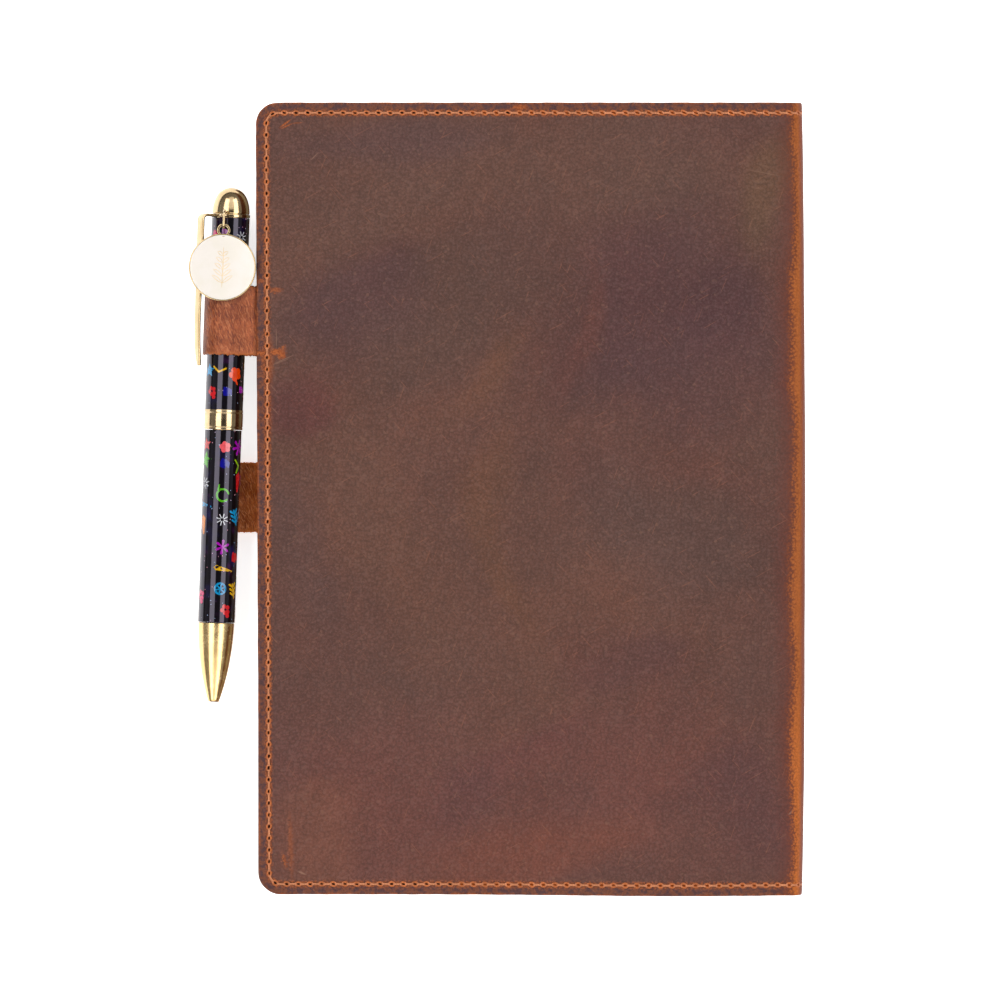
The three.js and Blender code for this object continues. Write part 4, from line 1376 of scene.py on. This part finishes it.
def collar():
    """A ring that is open where the clip's foot sits in it, and the wire hoop for the charm."""
    shell = Shell()
    gap = 0.36
    angles = np.linspace(gap - CLIP_ANGLE, 2 * math.pi - gap - CLIP_ANGLE, 90)
    middle = (PEN_RADIUS + 0.08 + BORE) / 2
    path = pen_to_row(
        [(middle * math.sin(a), COLLAR + 0.45, middle * math.cos(a)) for a in angles]
    )
    section = box_section(0.9, PEN_RADIUS + 0.08 - BORE, 0.15)
    centre = pen_to_row([(0, COLLAR + 0.45, 0)])[0]
    sweep(shell, path, path - centre, section)
    leg = 2.2
    wire = [(1.0, 0.0, -leg)]
    wire += [(math.cos(a), 0.0, math.sin(a)) for a in np.linspace(0, math.pi, 14)]
    wire += [(-1.0, 0.0, -leg)]
    wire = np.array(wire) + np.array([HOOP_ACROSS, HOOP_STATION, CHARM_LEVEL - 1.0])
    sweep(shell, pen_to_row(wire), PEN_AXIS, round_section(0.4, 12))
    piece = shell.build("clip_collar", PALE_GOLD, sharp=50)
    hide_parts("pen_clip_collar")
    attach(piece, "pen_upper")


def charm():
    straight, bend = 1.1, 1.35
    oval = []
    for end, start in ((1, 0.0), (-1, math.pi)):
        for a in np.linspace(start, start + math.pi, 14):
            oval.append((0.0, end * straight + bend * math.sin(a), bend * math.cos(a)))
    oval = np.array(oval) + np.array([HOOP_ACROSS, HOOP_STATION - straight, CHARM_LEVEL])
    shell = Shell()
    across = pen_to_row([(1, 0, 0)])[0] - PEN_ORIGIN
    sweep(shell, pen_to_row(oval), across, round_section(0.35, 12), True)
    link = shell.build("charm_ring", PALE_GOLD, sharp=60)
    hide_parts("charm_link")
    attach(link, "charm_link")

    eyelet = SWING_STATION - 0.65
    centre = eyelet - 10.3
    face, broad = 0.47, 9.1  # height of the disc's face, and radius where its rim starts

    def upright(station):
        """Places a turned outline round an upright axis over the pen."""
        def place(r, angle, height):
            x, y = r * math.cos(angle), r * math.sin(angle)
            return (HOOP_ACROSS + x, station + y, CHARM_LEVEL + height)

        return place

    shell = Shell()
    outline = [(0, -0.5), (9.0, -0.5), (9.25, -0.36), (9.35, 0.0), (9.35, 0.45), (9.2, 0.6)]
    outline += [(8.95, 0.6), (8.8, 0.52), (8.55, face), (0, face)]
    finish = [0 if max(a[0], b[0]) > broad else 1 for a, b in zip(outline, outline[1:])]
    turn(shell, outline, upright(centre), 128, finish, True)
    ring = fillet([(1.2, -0.5), (1.85, -0.5), (1.85, 0.5), (1.2, 0.5), (1.2, -0.5)], 0.2, 4)
    turn(shell, ring, upright(eyelet), 48, 0, True)
    emboss(shell, centre, face)
    disc = shell.build("charm_medal", [PALE_GOLD, CHAMPAGNE, CHASED_SHADE], sharp=50)
    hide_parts("charm_disc")
    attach(disc, "charm_disc")


def emboss(shell, centre, height):
    """A plain sprig of leaves, raised a little on the medal, in a darker plate that is painted
    shade on its relief.
    """
    def ridge(points, width):
        line = [(HOOP_ACROSS + x, centre + y, CHARM_LEVEL + height) for x, y in points]
        sizes = np.sin(np.linspace(0.12, math.pi - 0.12, len(line))) ** 0.5
        section = round_section(1.0, 8, 0.45)[None] * (width * sizes)[:, None, None]
        sweep(shell, pen_to_row(line), (0, 0, 1), section, material=2)

    ridge([(0.15 * math.sin(t * 2), -5.6 + 11.2 * t) for t in np.linspace(0, 1, 16)], 0.14)
    for k in range(5):
        base = -4.4 + 1.9 * k
        size = 2.9 - 0.35 * k
        for sign in (1, -1):
            for bow in (0.5, -0.25):
                leaf = []
                for t in np.linspace(0, 1, 12):
                    swing = bow * math.sin(math.pi * t)
                    leaf.append((sign * (size * t - swing * 0.4), base + size * 0.75 * t + swing))
                ridge(leaf, 0.11)


# ---- Printed motifs -----------------------------------------------------------------------------

INKS = {
    "white": seen(226, 226, 232),
    "blue": seen(44, 158, 214),
    "deep_blue": seen(30, 44, 150),
    "yellow": seen(240, 184, 40),
    "orange": seen(240, 140, 40),
    "vermilion": seen(244, 84, 38),
    "red": seen(224, 36, 54),
    "coral": seen(250, 104, 112),
    "pink": seen(234, 44, 120),
    "magenta": seen(176, 40, 180),
    "green": seen(96, 190, 40),
    "lime": seen(160, 200, 50),
}
INK_NAMES = list(INKS)
INK_MATERIALS = [print_material(name, color) for name, color in INKS.items()]


def barrel_radius(station):
    return PEN_RADIUS if station > PEN_BAND else PEN_RADIUS - 0.12


class Motif:
    """Builds flat shapes in a motif's own plane and lays them on the barrel."""

    def __init__(self, shell, ink, station, across, size, spin):
        self.shell = shell
        self.ink = INK_NAMES.index(ink)
        self.station = station
        self.across = across
        self.size = size
        self.spin = spin

    def lay(self, points, lift):
        radius = barrel_radius(self.station)
        c, s = math.cos(self.spin), math.sin(self.spin)
        laid = []
        for a, b in points:
            a, b = a * self.size, b * self.size
            angle = (self.across + c * a - s * b) / radius
            station = self.station + s * a + c * b
            laid.append(around_pen(radius + lift, angle, station))
        return pen_to_row(laid)

    def blob(self, outline):
        """A filled shape, closed under the barrel's surface."""
        outline = np.array(outline, float)
        centre = outline.mean(0)
        inner = centre + 0.5 * (outline - centre)
        n = len(outline)
        top = self.lay([centre, *inner, *outline], 0.035)
        under = self.lay([centre, *outline], -0.08)
        faces = []
        for k in range(n):
            m = (k + 1) % n
            faces.append((0, 1 + k, 1 + m))
            faces.append((1 + k, 1 + n + k, 1 + n + m, 1 + m))
            faces.append((1 + n + k, 2 + 2 * n + k, 2 + 2 * n + m, 1 + n + m))
            faces.append((1 + 2 * n, 2 + 2 * n + m, 2 + 2 * n + k))
        self.shell.add(np.concatenate([top, under]), faces, self.ink)

    def stroke(self, start, end, wide, narrow=None):
        """A bar with round ends that may taper."""
        narrow = wide if narrow is None else narrow
        start, end = np.array(start, float), np.array(end, float)
        way = (end - start) / np.linalg.norm(end - start)
        out = np.array([-way[1], way[0]])
        outline = []
        for t in np.linspace(0, 1, 5):
            outline.append(start + (end - start) * t - out * (wide + (narrow - wide) * t) / 2)
        outline.append(end + way * narrow / 2)
        for t in np.linspace(1, 0, 5):
            outline.append(start + (end - start) * t + out * (wide + (narrow - wide) * t) / 2)
        outline.append(start - way * wide / 2)
        self.blob(outline)

    def arc(self, radius, start, end, wide):
        angles = np.linspace(start, end, max(4, int(abs(end - start) * 5)))
        spots = [(radius * math.cos(a), radius * math.sin(a)) for a in angles]
        for a, b in zip(spots, spots[1:]):
            self.stroke(a, b, wide)

    def polar(self, radii):
        angles = [2 * math.pi * k / len(radii) for k in range(len(radii))]
        self.blob([(r * math.cos(a), r * math.sin(a)) for r, a in zip(radii, angles)])

    def round(self, spot, radius, sides):
        angles = np.linspace(0, 2 * math.pi, sides, endpoint=False)
        outline = [(radius * math.cos(a), radius * math.sin(a)) for a in angles]
        self.blob(np.array(outline) + spot)


def spokes(count, turn=0.0):
    """Ways out from a motif's middle, evenly spread."""
    angles = [2 * math.pi * k / count + turn for k in range(count)]
    return [np.array([math.cos(angle), math.sin(angle)]) for angle in angles]


def draw(kind, motif):
    if kind == "spark":
        for way in spokes(8, 0.2):
            motif.stroke(0.32 * way, way, 0.16)
    elif kind == "flower":
        for way in spokes(5, 0.3):
            motif.round(0.55 * way, 0.42, 12)
        motif.polar([0.35] * 12)
    elif kind == "daisy":
        for way in spokes(6):
            motif.stroke(0.1 * way, way, 0.2, 0.42)
    elif kind == "wheel":
        motif.arc(0.85, 0, 2 * math.pi, 0.3)
        for way in spokes(6, 0.2)[:3]:
            motif.stroke(-0.8 * way, 0.8 * way, 0.2)
    elif kind == "ring":
        motif.arc(0.8, -0.6, 4.6, 0.26)
        motif.stroke((0.1, 0.9), (0.75, 1.25), 0.2)
    elif kind == "dash":
        motif.stroke((0, -1), (0, 1), 0.55, 0.4)
    elif kind == "drop":
        motif.stroke((0.0, 1.0), (0.0, -0.6), 0.85, 0.3)
        motif.polar([0.22] * 8)
    elif kind == "chevron":
        motif.stroke((-0.45, 0.95), (0.25, 0), 0.26)
        motif.stroke((0.25, 0), (-0.35, -0.95), 0.26)
    elif kind == "sprig":
        motif.stroke((0, -1.1), (0, 0.9), 0.22, 0.3)
        for b in (-0.5, 0.1, 0.7):
            for a in (0.6, -0.6):
                motif.stroke((0, b - 0.3), (a, b + 0.25), 0.2, 0.3)
    elif kind == "star":
        motif.polar([1.0, 0.48] * 5)
    elif kind == "cone":
        motif.stroke((-1.2, 0.4), (1.1, -0.3), 0.75, 0.18)
    elif kind == "cluster":
        spots = (0, 0.45), (-0.42, 0.1), (0.42, 0.15), (-0.2, -0.35), (0.25, -0.4), (0.0, -0.85)
        for spot in spots:
            motif.round(spot, 0.3, 10)
    elif kind == "patch":
        motif.polar([1.0, 0.8, 1.05, 0.75, 0.95, 0.85, 1.1])
    elif kind == "dot":
        motif.polar([1.0] * 8)


# Motif, ink, distance along the pen, distance across from the top line, size and turn.
TOP_MOTIFS = (
    ("spark", "white", 129.4, 3.6, 1.6, 0.1),
    ("patch", "magenta", 130.6, -1.4, 1.2, 0.4),
    ("patch", "pink", 130.2, -4.8, 1.1, 0.0),
    ("star", "blue", 92.2, -5.0, 2.0, 0.3),
    ("chevron", "yellow", 92.3, -1.6, 1.9, -1.75),
    ("flower", "vermilion", 91.3, 3.2, 2.1, 0.5),
    ("dash", "vermilion", 89.4, 3.4, 1.0, 0.5),
    ("cluster", "red", 86.4, -3.7, 2.0, 0.4),
    ("patch", "deep_blue", 86.4, 0.8, 1.5, 0.4),
    ("patch", "magenta", 87.0, 5.6, 1.2, 0.4),
    ("star", "red", 71.6, -5.2, 1.9, 0.4),
    ("flower", "coral", 71.0, 0.9, 1.7, 0.2),
    ("daisy", "magenta", 71.0, 5.4, 2.0, 0.2),
    ("star", "green", 67.3, -5.4, 2.6, 0.1),
    ("patch", "deep_blue", 66.4, 0.8, 1.6, 0.2),
    ("chevron", "lime", 65.8, 5.2, 1.9, 0.1),
    ("spark", "white", 60.8, -5.2, 1.6, 0.1),
    ("drop", "red", 60.4, 5.6, 2.7, -0.1),
    ("ring", "green", 57.6, 0.7, 2.1, 0.9),
    ("cone", "blue", 54.8, -5.6, 2.6, 0.1),
    ("sprig", "blue", 51.6, 4.9, 2.1, 0.3),
    ("spark", "white", 50.8, 0.8, 1.6, 0.3),
    ("drop", "orange", 48.4, -5.3, 2.6, 0.1),
    ("daisy", "magenta", 43.2, 1.1, 1.8, 0.4),
    ("patch", "red", 40.4, 5.4, 1.7, 0.3),
    ("cone", "yellow", 36.9, 2.0, 2.0, 0.1),
    ("wheel", "blue", 31.6, 0.9, 1.75, 0.1),
    ("sprig", "yellow", 31.2, 5.2, 2.0, 0.2),
    ("cluster", "pink", 29.6, -5.4, 2.1, 0.2),
    ("cluster", "red", 25.8, 2.6, 2.1, 0.4),
)
SHY_KINDS = ("spark", "flower", "daisy", "wheel", "drop")
SHY_KINDS += ("chevron", "star", "cluster", "dash", "ring")


def prints():
    shells = {"upper": Shell(), "lower": Shell()}

    def add(kind, ink, station, across, size, spin):
        shell = shells["upper" if station > PEN_BAND else "lower"]
        draw(kind, Motif(shell, ink, station, across, size, spin))

    for row in TOP_MOTIFS:
        add(*row)
    # The same kinds of motif go on round the back, in staggered rows.
    bright = [name for name in INK_NAMES if name != "deep_blue"]
    for low, high in ((24.5, 74.0), (84.0, 133.0)):
        rows = int((high - low) / 4.6)
        for row in range(rows):
            for place in range(4):
                across = 8.4 + 4.3 * place + (2.1 if row % 2 else 0) + rng.uniform(-0.4, 0.4)
                station = low + 4.6 * row + rng.uniform(0, 1.2)
                add(
                    SHY_KINDS[rng.integers(len(SHY_KINDS))],
                    bright[rng.integers(len(bright))],
                    station,
                    across,
                    rng.uniform(1.0, 1.6),
                    rng.uniform(0, 6.28),
                )
    for part, body in (("upper", "pen_upper"), ("lower", "pen_lower")):
        piece = shells[part].build(part + "_barrel_prints", INK_MATERIALS, sharp=40)
        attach(piece, body)


pen()
clip()
collar()
charm()
prints()

# ---- Stage --------------------------------------------------------------------------------------


def floor():
    s = Shader("pale_floor", Roughness=0.9, Specular_IOR_Level=0.1)
    s.finish(Emission_Color=(1.0, 1.0, 1.0, 1.0), Emission_Strength=0.7)  # lit from below
    tone = s.noise(s.node("TexCoord").outputs["Object"], 3.0, 2.0)
    material = s.finish(Base_Color=s.mix(tone, (0.90, 0.90, 0.90, 1), (0.93, 0.93, 0.93, 1)))
    size = 6000.0
    around = (-size, -size), (size, -size), (size, size), (-size, size)
    corners = [(x, y, -0.05) for x, y in around]
    make_object("floor", corners, [(0, 1, 2, 3)], material)


def softbox(name, toward, tilt, width, length, radiance):
    """A large light facing the part, tilted from straight above toward a way round it."""
    distance = 1.2
    light = bpy.data.lights.new(name, "AREA")
    light.shape = "RECTANGLE"
    light.size = width
    light.size_y = length
    light.energy = radiance * width * length * math.pi
    lamp = bpy.data.objects.new(name, light)
    heading = Matrix.Rotation(math.radians(toward), 4, "Z")
    leaning = Matrix.Rotation(math.radians(tilt), 4, "Y")
    lamp.matrix_world = heading @ leaning @ Matrix.Translation((0, 0, distance))
    lamp.visible_camera = False
    bpy.context.scene.collection.objects.link(lamp)


def world():
    """Soft light from all round, dimmest straight above."""
    made = bpy.data.worlds.new("studio")
    bpy.context.scene.world = made
    made.use_nodes = True
    nodes, links = made.node_tree.nodes, made.node_tree.links
    background = nodes["Background"]
    direction = nodes.new("ShaderNodeTexCoord").outputs["Generated"]
    height = nodes.new("ShaderNodeSeparateXYZ")
    links.new(direction, height.inputs[0])
    ramp = nodes.new("ShaderNodeValToRGB")
    links.new(height.outputs[2], ramp.inputs[0])
    stops = ramp.color_ramp.elements
    stops[0].position, stops[0].color = 0.0, (0.12, 0.12, 0.12, 1)
    stops[1].position, stops[1].color = 1.0, (0.08, 0.08, 0.08, 1)
    for position, value in ((0.12, 0.16), (0.30, 0.38), (0.5, 0.31), (0.92, 0.16)):
        stop = stops.new(position)
        stop.color = (value, value, value, 1)
    links.new(ramp.outputs[0], background.inputs[0])
    background.inputs[1].default_value = 1.0


def camera():
    distance = 2600.0
    across = 276.1  # width of the view at the back cover's face
    data = bpy.data.cameras.new("overhead")
    data.sensor_width = 36.0
    data.lens = data.sensor_width * distance / across
    data.clip_start, data.clip_end = 0.1, 20
    made = bpy.data.objects.new("overhead", data)
    made.location = (-9.4 * MM, 0.4 * MM, (TOP + distance) * MM)
    bpy.context.scene.collection.objects.link(made)
    bpy.context.scene.camera = made


floor()
softbox("right_softbox", 0, 31.5, 0.62, 2.6, 3.9)
softbox("left_softbox", 180, 31.5, 0.62, 2.6, 3.9)
softbox("head_softbox", 90, 36, 0.9, 0.6, 1.4)
softbox("foot_softbox", 270, 36, 0.9, 0.6, 1.4)
world()
camera()
bpy.context.scene.view_settings.view_transform = "Standard"
